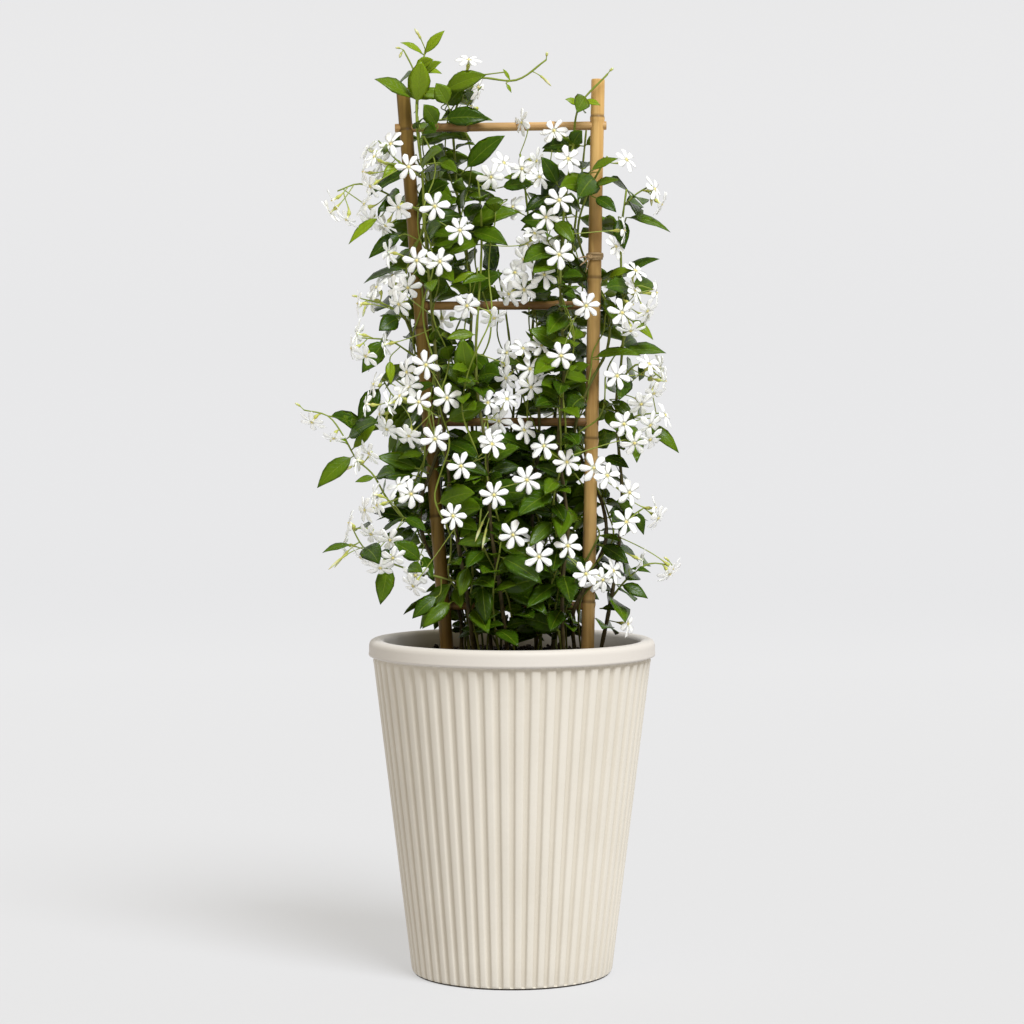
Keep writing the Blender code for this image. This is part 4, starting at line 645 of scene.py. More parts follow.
def pushed_clear(line, radius, others):
    """The line with each point moved away from any other line that it runs too near."""
    line = line.copy()
    for _ in range(6):
        for other, other_radius in others:
            a, b = other[:-1], other[1:]
            ab = b - a
            share = np.einsum("ijk,jk->ij", line[:, None] - a, ab) / np.einsum("jk,jk->j", ab, ab)
            nearest = a + np.clip(share, 0, 1)[..., None] * ab
            gap = np.linalg.norm(line[:, None] - nearest, axis=2)
            best = gap.argmin(1)
            distance = gap[np.arange(len(line)), best]
            need = radius + other_radius + STEM_GAP
            away = line - nearest[np.arange(len(line)), best]
            away /= np.maximum(distance, 1e-6)[:, None]
            line += away * np.maximum(need - distance, 0)[:, None]
    return line


def pole_line(pole):
    """A pole's centre line from its buried tip to its top."""
    low, high = (place(*end) for end in pole)
    slope = (high - low) / (high[2] - low[2])
    return np.array((low + slope * (POLE_TIP_HEIGHT - low[2]), high))


def rung_line(rung):
    """A rung's centre line from its left end to its right end."""
    return np.array([place(*end) for end in rung])


def twine_line(pole, turns, phase, low, high):
    """A stem that winds round a pole: the pole's own line plus a circle that turns as it climbs."""
    axis = pole_line(pole)
    heights = (np.linspace(low, high, 60) + VIEW_FOOT) / 1000
    centre = axis[0] + (axis[1] - axis[0]) * ((heights - axis[0][2]) / (axis[1][2] - axis[0][2]))[:, None]
    angle = phase + np.linspace(0, 2 * pi * turns, len(heights))
    ring = np.stack((np.cos(angle), np.sin(angle), np.zeros_like(angle)), axis=1)
    return curve_through(centre[::4] + ring[::4] * TWINE_RADIUS, STEM_STEP)


def nearest_point(point, lines):
    """The point of the lines that is nearest to the given one."""
    points = np.concatenate(lines)
    return points[np.linalg.norm(points - point, axis=1).argmin()]


def grow_stems():
    """Every vine's stem and side shoots, bent clear of the trellis and of each other."""
    hard = wood()
    stems = {}
    routes = {name: twine_line(*twine) for name, twine in TWINES.items()}
    routes.update({name: [place(*p) for p in points] for name, points in VINES.items()})
    for name, route in routes.items():
        line = curve_through(route, STEM_STEP)
        line = np.vstack((line[0] - (0, 0, ROOT_DEPTH / 1000), line))
        line[1:] = pushed_clear(line[1:], STEM_BASE_RADIUS, hard)
        stems[name] = [Tube(line, STEM_BASE_RADIUS, STEM_TIP_RADIUS)]
        hard.append((line, STEM_BASE_RADIUS))
    for name, *points in SHOOTS:
        main = stems[name][0].line
        route = [place(*p) for p in points]
        route[0] = nearest_point(route[0], [spaced(main, FINE_STEP)])
        line = curve_through(route, SHOOT_STEP)
        others = [(other, size) for other, size in hard if other is not main]
        line[1:] = pushed_clear(line[1:], SHOOT_RADIUS, others)
        stems[name].append(Tube(line, SHOOT_RADIUS, SHOOT_TIP_RADIUS))
        hard.append((line, SHOOT_RADIUS))
    return stems


def nearest_stem(point, stems):
    """The node, place, radius and heading of the stem nearest to a point, with depth counted half."""
    best = None
    for name in stems:
        for stem in stems[name]:
            line = spaced(stem.line, FINE_STEP)
            away = np.linalg.norm((line - point) * (1, 0.5, 1), axis=1)
            distance = np.where(line[:, 2] > STEMS_ABOVE, away, FAR)
            k = distance.argmin()
            if best is None or distance[k] < best[0]:
                radius = stem.start + (stem.end - stem.start) * k / len(line)
                heading = unit(line[min(k + 1, len(line) - 1)] - line[max(k - 1, 0)])
                best = (distance[k], name, line[k], radius, heading)
    return best[1:]


def facing(turn, lift):
    """The direction turned to the right of the front and lifted, in degrees."""
    turn, lift = radians(turn), radians(lift)
    return np.array((sin(turn) * cos(lift), -cos(turn) * cos(lift), sin(lift)))


def stalk(start, end, leaving, arriving, bow, count):
    """A curved stalk's line, from its start and end and the directions there."""
    reach = np.linalg.norm(end - start) * bow
    share = np.linspace(0, 1, count)[:, None]
    a, b = start + leaving * reach, end - arriving * reach
    near, far = (1 - share) ** 3 * start, share**3 * end
    return near + 3 * share * (1 - share) ** 2 * a + 3 * share**2 * (1 - share) * b + far


def grow_spray(flowers, stems, taken, name, rng):
    """A spray: its first flower's stalk starts at the nearest stem, and the others branch off it."""
    wanted = []
    for x, z, y, turn, lift, *petals in flowers:
        radius = FLOWER_RADIUS * rng.uniform(0.92, 1.04)
        spin = rng.uniform(0, 2 * pi)
        wanted.append((place(x, z, y), facing(turn, lift), radius, *(petals or [PETALS]), spin))
    middle = np.mean([centre - axis * BEHIND_FLOWER for centre, axis, *_ in wanted], axis=0)
    for attempt in range(SPRAY_TRIES):
        wobble = rng.normal(0, 0.0010 * attempt**0.7 + 1e-6, 3)
        shift = rng.normal(0, 0.0015, 3) if attempt > SPRAY_TRIES // 4 else np.zeros(3)
        _, root, radius, heading = nearest_stem(middle + wobble * 1.5, stems)
        out = unit(middle - root)
        start = root + unit(out - heading * (out @ heading)) * (radius + STALK_RADIUS * 0.5 + FIT_GAP)
        made, fork = [], None
        for centre, axis, size, petals, spin in wanted:
            centre = centre + shift
            back = centre - axis * TUBE_LENGTH
            if fork is None:
                line = stalk(start, back, unit(out + wobble * 20), axis, 0.35, 3)
                fork = line[0] * 0.2 + line[1] * 0.8
            else:
                line = stalk(fork, back, unit(back - fork), axis, 0.3, 2)
            made.append(Flower(centre, axis, size, petals, spin, line))
        shapes = [star(flower, TEST_GAP) for flower in made]
        shapes[0] = star(made[0], TEST_GAP / 3)
        if not any(taken.crosses(*shape) for shape in shapes):
            for flower in made:
                taken.add(name, *star(flower))
            return made
    return None


def shown_leaf(row):
    """A leaf from its row in SHOWN_LEAVES or MORE_LEAVES."""
    foot, tip = place(*row[:3]), place(*row[3:6])
    length = np.linalg.norm(tip - foot)
    face = unit(np.array((0, -1.0, 0)) * row[7] + UP * (1 - row[7]) + (0, 0, 0.05))
    bend = (foot + tip) / 2 + face * length * 0.12 + UP * length * 0.06
    return Leaf(foot, bend, tip, face, row[6] / 1000)


def pole_across(pole, z):
    """Where the front view shows a pole across, at the height z."""
    (low_x, low_z, _), (high_x, high_z, _) = pole
    return np.interp(z, (low_z, high_z), (low_x, high_x))


def view_of(point):
    """Where the front view shows a point: across and up, in millimetres."""
    nearer = 1 + point[1] / VIEW_DISTANCE
    return point[0] / nearer * 1000, (EYE_HEIGHT + (point[2] - EYE_HEIGHT) / nearer) * 1000 - VIEW_FOOT


def within(rows, x, z):
    """Whether x is in one of the two columns whose edges the rows give for the height z."""
    left, inner_left, inner_right, right = (np.interp(z, rows[:, 0], rows[:, k]) for k in (1, 2, 3, 4))
    return left < x < inner_left or inner_right < x < right


def inside_outline(point):
    """Whether a point of a leaf is inside the plant's outline, off the pot, and not in front of a pole."""
    x, z = view_of(point)
    for pole in (LEFT_POLE, RIGHT_POLE):
        if point[1] < 0 and abs(x - pole_across(pole, z)) < POLE_CLEAR:
            return False
    off_pot = np.hypot(*point[:2]) < RIM_INNER_RADIUS - POT_CLEAR or point[2] > POT_HEIGHT + POT_CLEAR
    return within(OUTLINE, x, z) and abs(point[1]) < MOST_DEPTH and point[2] > SOIL_TOP + POT_CLEAR and off_pot


def grow_leaves(stems, taken, rng, growth):
    """Pairs of leaves up every stem, each pair turned from the last, where they cross nothing.

    The growth says how far up the main stem and the others the first pair is, and the internode at a height. Each
    leaf is tried a few times, at scattered angles, until its shares of length are all inside the outline.
    """
    leaves = {name: [] for name in stems}
    for name in stems:
        for number, stem in enumerate(stems[name]):
            line = spaced(stem.line, FINE_STEP)
            across, up = frames(line)
            along = growth.starts[min(number, 1)]
            turn = rng.uniform(0, pi)
            while along < FINE_STEP * (len(line) - 1):
                k = int(along / FINE_STEP)
                along += growth.internode(line[k][2]) * rng.uniform(0.8, 1.2)
                turn += pi / 2 + rng.normal(0, 0.3)
                if line[k][2] < SOIL_TOP + 0.02:
                    continue
                for opposite in (0, pi):
                    for _ in range(growth.tries):
                        angle = turn + opposite + rng.normal(0, growth.scatter)
                        out = across[k] * cos(angle) + up[k] * sin(angle)
                        leaf = growth.make(line[k], out, rng.uniform)
                        inside = all(growth.inside(leaf_at(leaf, share)[0]) for share in growth.shares)
                        if inside and room_for(name, leaf, taken):
                            taken.add(name, *blade(leaf))
                            leaves[name].append(leaf)
                            break
    return leaves


def room_for(name, leaf, taken):
    """Whether a leaf crosses no other node, and its blade, past its stalk, nothing at all."""
    beyond = leaf._replace(foot=leaf_at(leaf, 0.13)[0], root=None)
    return not taken.crosses(*blade(leaf, TEST_GAP), but=(name,)) and not taken.crosses(*blade(beyond, TEST_GAP))


def place_buds(stems, taken):
    """The buds of each node, with their stalks in the nearest stem."""
    buds = {name: [] for name in stems}
    for row in BUDS:
        tip = place(*row[3:])
        name, root, _, _ = nearest_stem(place(*row[:3]), stems)
        if not taken.crosses(*bud(root, tip, TEST_GAP), but=(name,)):
            taken.add(name, *bud(root, tip))
            buds[name].append((root, tip))
    return buds


def place_shown_leaves(stems, taken, rng, rows):
    """The leaves of those rows, each from the nearest stem, on a long stalk where it must reach."""
    leaves = {name: [] for name in stems}
    for row in rows:
        wanted = shown_leaf(row)
        name, root, _, _ = nearest_stem(wanted.foot, stems)
        for attempt in range(LEAF_TRIES):
            nudge = rng.normal(0, 0.0007 * attempt, 3)
            leaf = wanted._replace(foot=wanted.foot + nudge, bend=wanted.bend + nudge, tip=wanted.tip + nudge)
            short = np.linalg.norm(leaf.foot - root) < SHORT_TWIG
            leaf = leaf._replace(foot=root) if short else leaf._replace(root=root)
            if room_for(name, leaf, taken):
                taken.add(name, *blade(leaf))
                leaves[name].append(leaf)
                break
    return leaves


def grow_plant():
    """For each vine its stems, leaves and buds, for each spray its flowers, and the space they all take."""
    rng = np.random.default_rng(SEED)
    stems = grow_stems()
    taken = Taken()
    for pole in (LEFT_POLE, RIGHT_POLE):
        taken.add("pole", *tube(pole_line(pole), POLE_RADIUS, POLE_RADIUS, POLE_SIDES, NODE_SWELL + TEST_GAP))
    for rung in RUNGS:
        taken.add("rung", *tube(rung_line(rung), RUNG_RADIUS, RUNG_RADIUS, RUNG_SIDES, TEST_GAP))
    taken.add("tie", *tube(tie_route(), TIE_WIRE, TIE_WIRE, STEM_SIDES, TEST_GAP))
    for name, tubes in stems.items():
        for one in tubes:
            taken.add(name, *tube(*one, STEM_SIDES, TEST_GAP / 3))
    sprays = {}
    for number, flowers in enumerate(SPRAYS):
        name = f"spray_{number + 1:02d}"
        found = grow_spray(flowers, stems, taken, name, rng)
        if found:
            sprays[name] = found
    buds = place_buds(stems, taken)
    leaves = place_shown_leaves(stems, taken, rng, SHOWN_LEAVES)
    for name, more in grow_leaves(stems, taken, rng, FIRST_GROWTH).items():
        leaves[name] += more
    return stems, leaves, buds, sprays, taken


def tie_axis():
    """The point of the right upright's axis that the tie goes round."""
    low, high = pole_line(RIGHT_POLE)
    return low + (high - low) * (TIE_HEIGHT - low[2]) / (high[2] - low[2])


def body_radius(height):
    """The pot's crest radius at a height."""
    top = POT_HEIGHT - RIM_HEIGHT
    return FOOT_RADIUS + (CREST_RADIUS - FOOT_RADIUS) * height / top


def inner_radius(height):
    """The radius of the pot's inside at a height: a straight taper."""
    return RIM_INNER_RADIUS - (RIM_INNER_RADIUS - FOOT_RADIUS + WALL) * (POT_HEIGHT - height) / POT_HEIGHT


def soil_height(x, y):
    """The soil's surface: slightly domed, with lumps as a sum of unlike waves."""
    lumps = np.sin(81 * x + 1.3) * np.cos(93 * y)
    lumps += 0.7 * np.sin(171 * x - 122 * y) + 0.5 * np.cos(240 * y + 60 * x)
    return SOIL_TOP + SOIL_LUMP * (0.5 * lumps + 1.0 - (np.hypot(x, y) / 0.09) ** 2)


def tie_route():
    """The raffia's line: once round the right upright, and down into a short tail."""
    reach = POLE_RADIUS + NODE_SWELL + TIE_WIRE + FIT_GAP
    turns = np.linspace(0.0, TIE_TURN, TIE_POINTS) + TIE_START
    rise = np.arange(TIE_POINTS) * TIE_RISE
    loop = tie_axis() + np.stack((reach * np.cos(turns), reach * np.sin(turns), rise), axis=1)
    return np.vstack((loop, loop[-1] + TIE_TAIL))


class Skin:
    """A mesh put together from blocks of points, with four-sided faces and a UV for each corner.

    A face whose last two corners are the same point is a triangle. Values are numbers kept for each point.
    """

    def __init__(self):
        self.points, self.faces, self.uvs, self.slots, self.values = [], [], [], [], {}
        self.count = 0

    def add(self, points, faces, uv, slot=0, **values):
        points = points.reshape(-1, 3)
        faces = faces.reshape(-1, 4)
        for key in {*self.values, *values}:
            blocks = self.values.setdefault(key, [np.zeros(self.count)])
            blocks.append(np.broadcast_to(np.asarray(values.get(key, 0.0), float), len(points)))
        self.points.append(points)
        self.faces.append(faces + self.count)
        self.uvs.append(uv.reshape(-1, 4, 2))
        self.slots.append(np.full(len(faces), slot))
        self.count += len(points)

    def mesh(self, name, finishes):
        """The blocks as one smooth mesh with its materials."""
        faces, uvs = np.concatenate(self.faces), np.concatenate(self.uvs)
        triangle = faces[:, 2] == faces[:, 3]
        corners = np.ones(faces.shape, bool)
        corners[triangle, 3] = False
        made = bpy.data.meshes.new(name)
        lists = [face[:3] if short else face for face, short in zip(faces.tolist(), triangle)]
        made.from_pydata(np.concatenate(self.points).tolist(), [], lists)
        layer = made.uv_layers.new(name="UVMap")
        layer.data.foreach_set("uv", uvs[corners].astype(np.float32).ravel())
        for key, blocks in sorted(self.values.items()):
            attribute = made.attributes.new(key, "FLOAT", "POINT")
            attribute.data.foreach_set("value", np.concatenate(blocks).astype(np.float32))
        for finish in finishes:
            made.materials.append(finish)
        made.polygons.foreach_set("material_index", np.concatenate(self.slots).astype(np.int32))
        made.shade_smooth()
        return made

    def piece(self, name, finishes, slot, *nodes):
        """The blocks as a finished object, in place of the named nodes."""
        return settled(name, self.mesh(name, finishes), slot, *nodes)


def linked(name, data):
    """A new object in the scene."""
    made = bpy.data.objects.new(name, data)
    bpy.context.scene.collection.objects.link(made)
    return made


def settled(name, mesh, slot, *nodes):
    """An object on the root, in place of the named nodes. The slot is not used."""
    made = linked(name, mesh)
    if nodes:
        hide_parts(*nodes)
    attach(made, "root")
    return made


def unit_rows(vectors):
    """Vectors at length 1, along the last axis."""
    return vectors / np.maximum(np.linalg.norm(vectors, axis=-1, keepdims=True), 1e-12)


def smoothstep(low, high, value):
    """0 at low, 1 at high, and a smooth rise 3t^2 - 2t^3 between."""
    share = np.clip((value - low) / (high - low), 0, 1)
    return share * share * (3 - 2 * share)


def grid(rows, columns, wrap=False):
    """Four-sided faces of a grid of points, and each corner's row and column."""
    across = columns if wrap else columns - 1
    row, column = np.meshgrid(np.arange(rows - 1), np.arange(across), indexing="ij")
    row = np.stack((row, row, row + 1, row + 1), -1).reshape(-1, 4)
    column = np.stack((column, column + 1, column + 1, column), -1).reshape(-1, 4)
    return row * columns + column % columns, row, column


def rings_skin(skin, rings, slot=0, v=None, **values):
    """Adds a closed surface of rings (rows, around, 3), with a point in the middle of each end."""
    rows, around = rings.shape[:2]
    faces, row, column = grid(rows, around, wrap=True)
    v = np.linspace(0, 1, rows) if v is None else np.asarray(v, float)
    k = np.arange(around)
    following = (k + 1) % around
    first = np.full(around, rows * around)
    base = (rows - 1) * around
    low = np.stack((following, k, first, first), -1)
    high = np.stack((base + k, base + following, first + 1, first + 1), -1)
    uv = np.stack((column / around, v[row]), -1)
    cap = np.stack((k, k + 1, k + 0.5, k + 0.5), -1) / around
    caps = [np.stack((cap, np.full(cap.shape, end)), -1) for end in (v[0], v[-1])]
    shared = {}
    for key, value in values.items():
        value = np.broadcast_to(np.asarray(value, float), rows)
        shared[key] = np.r_[np.repeat(value, around), value[[0, -1]]]
    points = np.concatenate((rings.reshape(-1, 3), [rings[0].mean(0), rings[-1].mean(0)]))
    skin.add(points, np.concatenate((faces, low, high)), np.concatenate((uv, *caps)), slot, **shared)


def sweep(skin, line, radii, around, slot=0, v=None, side=None, flat=1.0, **values):
    """Adds a tube: at each point of the line an ellipse across its heading, flat times as thick as wide."""
    across, up = frames(line, side)
    radii = np.broadcast_to(np.asarray(radii, float), len(line))[:, None, None]
    rings_skin(skin, line[:, None] + circle(across, up * flat, angles(around)) * radii, slot, v, **values)


def turned_rings(profile, angle):
    """Rings of points round the Z axis: a profile of radius and height turned through the angles."""
    radius, height = (np.broadcast_to(array, (len(profile[0]), len(angle))) for array in profile)
    return np.stack((radius * np.cos(angle), radius * np.sin(angle), height), -1)


def rod_skin(skin, low, high, stops, radii, around, **values):
    """Adds a straight rod: at each stop along it, in metres from its low end, a circle of that radius."""
    along = unit(high - low)
    side = unit(np.cross(along, (0.0, 1.0, 0.0)))
    centres = low + along * np.asarray(stops)[:, None]
    rings = centres[:, None] + circle(side, np.cross(along, side), angles(around)) * np.asarray(radii)[:, None, None]
    rings_skin(skin, rings, 0, stops, **values)


def sheets_skin(skin, top, bottom, u, v, **values):
    """Adds thin closed blades: top and bottom grids (count, rows, columns, 3) that share their edges."""
    count, rows, columns = top.shape[:3]
    faces, row, column = grid(rows, columns)
    lower = np.arange(rows * columns).reshape(rows, columns)
    inside = (rows - 2) * (columns - 2)
    lower[1:-1, 1:-1] = rows * columns + np.arange(inside).reshape(rows - 2, -1)
    both = np.concatenate((faces, lower.ravel()[faces][:, ::-1]))
    stride = rows * columns + inside
    uv = np.stack((u[row], v[column]), -1)
    uv = np.broadcast_to(np.concatenate((uv, uv[:, ::-1])), (count, 2 * len(faces), 4, 2))
    points = np.concatenate((top.reshape(count, -1, 3), bottom[:, 1:-1, 1:-1].reshape(count, -1, 3)), 1)
    under = np.tile(np.r_[np.zeros(rows * columns), np.ones(inside)], count)
    shared = {key: np.repeat(value, stride) for key, value in values.items()}
    skin.add(points, both + stride * np.arange(count)[:, None, None], uv, under=under, **shared)


def pot_skin(skin, rib_depth):
    """Adds the ribbed pot.

    At angle a and height z the outside is the taper's radius less the rib depth times the groove's share. Where
    s goes from -1/2 to 1/2 across a rib, that share is 0.14 (s/0.3)^2, no more than 0.14, plus 0.86 times a smooth
    rise from |s| = 0.23 to 0.40. The crests round off under the rim, the foot stands back from the wall, and the
    rim, the lip and the inside are a plain profile turned round the axis.
    """
    def profile(radius, base, rows):
        return [(radius + out / 1000, base + up / 1000, share) for out, up, share in rows]

    low = POT_HEIGHT - RIM_HEIGHT
    inner = [(inner_radius(z), z, 0) for z in (POT_HEIGHT - 0.03, POT_HEIGHT - 0.08, 0.020)]
    rows = [
        (0.012, 0.0015, 0), *profile(FOOT_RADIUS, 0, FOOT_PROFILE),
        *((body_radius(z), z, 1.0) for z in np.linspace(0.0045, low - 0.0075, 14)),
        *profile(body_radius(low), low, WALL_TOP_PROFILE), *profile(RIM_RADIUS, low, RIM_LOW_PROFILE),
        *profile(RIM_RADIUS, POT_HEIGHT, RIM_TOP_PROFILE), *profile(RIM_INNER_RADIUS, POT_HEIGHT, LIP_PROFILE),
        *inner, (inner_radius(0.016) - 0.004, FLOOR_THICKNESS, 0), (0.012, FLOOR_THICKNESS, 0),
    ]
    radius, height, share = (np.array(column, float)[:, None] for column in zip(*rows))
    angle = ((np.arange(RIBS)[:, None] + 0.5 + RIB_STOPS) * 2 * pi / RIBS - pi / 2).ravel()
    groove = 0.14 * np.minimum(1, (RIB_STOPS / 0.3) ** 2) + 0.86 * smoothstep(0.23, 0.40, np.abs(RIB_STOPS))
    groove = np.tile(groove, RIBS)
    radius = radius - rib_depth * share * groove
    rings_skin(skin, turned_rings((radius, height), angle), 0, height[:, 0])
    row = np.arange(len(rows))
    # The rim's rows, marked for the glaze's painted shade on the rim.
    rim = (height[:, 0] > low - 0.0003) & (radius[:, 0] > RIM_INNER_RADIUS - 0.001)
    # The foot's rows, marked for a painted contact shadow.
    # The inside's rows, marked for painted shade inside the pot.
    marks = (("inside", row > len(rows) - 6, (0, 1)), ("foot", row < 7, (1, 0)), ("rim", rim, (0, 0)))
    for key, marked, ends in marks:
        skin.values[key] = [np.r_[np.repeat(marked, len(angle)), ends]]
    # The groove's share also goes to the glaze, which paints shade into the grooves by it.
    skin.values["groove"] = [np.r_[(share * groove).ravel(), 0, 0]]


def drilled(name, mesh, finish):
    """The pot's mesh with its round drains cut through the floor."""
    drills = Skin()
    for k in range(DRAINS):
        turn = pi / 2 + k * 2 * pi / DRAINS
        foot = np.array((DRAIN_RING_RADIUS * cos(turn), DRAIN_RING_RADIUS * sin(turn), -FLOOR_THICKNESS))
        through = 3 * FLOOR_THICKNESS
        rod_skin(drills, foot, foot + (0, 0, through), (0.0, through), (DRAIN_RADIUS,) * 2, DRAIN_SIDES)
    made, drill = linked(name, mesh), linked("drains", drills.mesh("drains", [finish]))
    cut = made.modifiers.new("drains", "BOOLEAN")
    cut.operation = "DIFFERENCE"
    cut.object = drill
    cut.solver = "EXACT"
    mesh = bpy.data.meshes.new_from_object(made.evaluated_get(bpy.context.evaluated_depsgraph_get()))
    mesh.name = name
    for spent in (made, drill):
        bpy.data.objects.remove(spent)
    return mesh


def fine_soil_height(x, y, rng):
    """The solid's soil surface with small lumps: a sum of waves of unlike length, heading and phase."""
    height = soil_height(x, y)
    for _ in range(SOIL_WAVES):
        wave, turn, phase = 2 * pi / rng.uniform(0.006, 0.020), rng.uniform(0, pi), rng.uniform(0, 7)
        height = height + 0.00035 * np.sin(wave * (x * cos(turn) + y * sin(turn)) + phase)
    return height


def soil_skin(skin, rng):
    """Adds the soil: it fills the pot, and its top is the lumpy surface on rings of points."""
    low = FLOOR_THICKNESS + FIT_GAP
    edge = inner_radius(SOIL_TOP - SOIL_DIP) - FIT_GAP * 2
    radius = np.r_[0.02, inner_radius(low) - FIT_GAP * 3, edge * np.linspace(1, 0.02, SOIL_RINGS)][:, None]
    rings = turned_rings((radius, np.full_like(radius, low)), angles(SOIL_SIDES))
    rings[2:, :, 2] = fine_soil_height(rings[2:, :, 0], rings[2:, :, 1], rng)
    rings_skin(skin, rings)


def lump_faces(corners):
    """The triangles between neighbouring corners of an icosahedron, each turned outward."""
    near = np.abs(np.linalg.norm(corners[:, None] - corners, axis=-1) - LUMP_EDGE) < 0.01
    count = range(len(corners))
    faces = [(a, b, c) for a in count for b in range(a) for c in range(b) if near[a, b] and near[b, c] and near[a, c]]
    faces = [(a, b, c) if np.dot(np.cross(corners[b] - corners[a], corners[c] - corners[a]), corners[a]) > 0
             else (a, c, b) for a, b, c in faces]
    return np.array([(*face, face[2]) for face in faces])


def crumb_skin(skin, count, rng):
    """Adds crumbs of soil and bark: icosahedra, stretched and turned by chance, that lie on the soil."""
    golden = (1 + sqrt(5)) / 2
    corners = np.array([(a, b * golden, 0) for a in (-1, 1) for b in (-1, 1)])
    corners = np.concatenate((corners, np.roll(corners, 1, 1), np.roll(corners, 2, 1))) / 1.902
    faces = lump_faces(corners)
    radius = (RIM_INNER_RADIUS - 0.008) * np.sqrt(rng.uniform(0, 1, count))
    turn = rng.uniform(0, 2 * pi, count)
    x, y = radius * np.cos(turn), radius * np.sin(turn)
    size = rng.gamma(3.0, 0.0005, count) + 0.0007
    stretch = rng.uniform((0.7, 0.6, 0.35), (1.7, 1.0, 0.8), (count, 3))
    jitter = rng.uniform(0.75, 1.2, (count, len(corners), 1))
    axes = np.linalg.qr(rng.normal(0, 1, (count, 3, 3)))[0]
    axes *= np.sign(np.linalg.det(axes))[:, None, None]
    axes[:, 2] *= 0.4 + 0.6 * (stretch[:, :1] < 1.2)
    axes = np.linalg.qr(axes)[0]
    axes *= np.sign(np.linalg.det(axes))[:, None, None]
    lumps = (corners * jitter * stretch[:, None]) @ axes * size[:, None, None]
    centres = np.stack((x, y, soil_height(x, y) + size * 0.45), -1)
    tone = np.repeat(rng.uniform(0, 1, count), len(corners))
    uv = np.zeros((count * len(faces), 4, 2))
    skin.add(lumps + centres[:, None], faces + len(corners) * np.arange(count)[:, None, None], uv, tone=tone)


def bell(away, width):
    """A narrow bell: e to minus the square of the distance in widths."""
    return np.exp(-((away / width) ** 2))


def cane_skin(skin, low, high, radius, nodes, hollow, around, rng):
    """Adds a bamboo cane: a rod whose radius swells by a narrow bell at each node, beside a thin groove.

    Its sawn ends are slightly rounded, and a hollow end turns in and goes down inside. Nodes are metres from
    the low end.
    """
    length = np.linalg.norm(high - low)
    near = [node + NODE_STOPS for node in nodes]
    stops = np.unique(np.concatenate((np.linspace(0.0012, length - 0.0012, int(length / CANE_STEP) + 2), *near)))
    stops = stops[(stops > 0.001) & (stops < length - 0.001)]
    ring, swell = np.zeros((2, len(stops)))
    for node in nodes:
        away = stops - node
        swell += 0.00065 * bell(away, 0.0032) - 0.00030 * bell(away - 0.0030, 0.0009)
        ring += bell(away - 0.0022, 0.0013)
    radii = radius * (1 + 0.012 * np.sin(stops * 41 + rng.uniform(0, 6))) + swell
    stops = np.r_[0, 0.0002, stops, length - 0.0002, length]
    radii = np.r_[radius * 0.90, radius * 0.97, radii, radius * 0.965, radius * 0.91]
    ring = np.r_[0, 0, ring, 0, 0]
    inner = np.zeros_like(stops)
    inner[-1] = inner[0] = 0.55
    # A hollow end's rows are marked for painted shade down the hollow.
    if hollow:
        stops = np.r_[stops, length - 0.0003, length - 0.006]
        radii = np.r_[radii, radius * 0.50, radius * 0.44]
        ring, inner = np.r_[ring, 0, 0], np.r_[inner, 1, 1]
    rod_skin(skin, low, high, stops, radii, around, ring=ring, inner=inner)


def raffia_skin(skin, rng):
    """Adds the raffia tie: flat strands that wind round the cane side by side, a knot, and its loose tails.

    A strand's line is a circle round the cane that climbs a little; it is carried as a flat ellipse.
    """
    low, high = pole_line(RIGHT_POLE)
    along = unit(high - low)
    axis = tie_axis()
    knot = axis + KNOT
    for strand in range(STRANDS):
        turns = np.linspace(0, 2 * pi, 33) + rng.uniform(0, 6)
        reach = POLE_RADIUS + 0.0011 + 0.0006 * (strand % 2)
        climb = (strand - (STRANDS - 1) / 2) * 0.0012 + 0.0009 * np.sin(turns + strand)
        ring = np.stack((reach * np.cos(turns), reach * np.sin(turns), 0 * turns), 1)
        sweep(skin, axis + ring + along * climb[:, None], 0.0012, 8, side=along, flat=0.34, tone=rng.uniform())
    for lean, size in ((0.4, 0.0019), (-0.5, 0.0016)):
        turns = np.linspace(0, 2 * pi, 17)
        loop = np.stack((np.cos(turns), 0.5 * np.sin(turns), lean * np.cos(turns) + 0.7 * np.sin(turns)), 1)
        sweep(skin, knot + size * loop, 0.0010, 8, flat=0.6, tone=rng.uniform())
    for tail in RAFFIA_TAILS:
        line = curve_through([knot, *(knot + np.array(point) / 1000 for point in tail)], 0.0012)
        radii = 0.0011 * np.sqrt(np.linspace(1, 0.08, len(line)))
        sweep(skin, line, radii, 8, side=along, flat=0.34, tone=rng.uniform())


def youth(leaf):
    """How young a leaf is, from 0 to 1: small leaves and those at the very top are the newest."""
    small = (1 - smoothstep(0.0115, 0.0150, leaf.width)) * smoothstep(0.42, 0.62, leaf.tip[2])
    return float(max(smoothstep(0.87, 0.93, leaf.tip[2]), small))


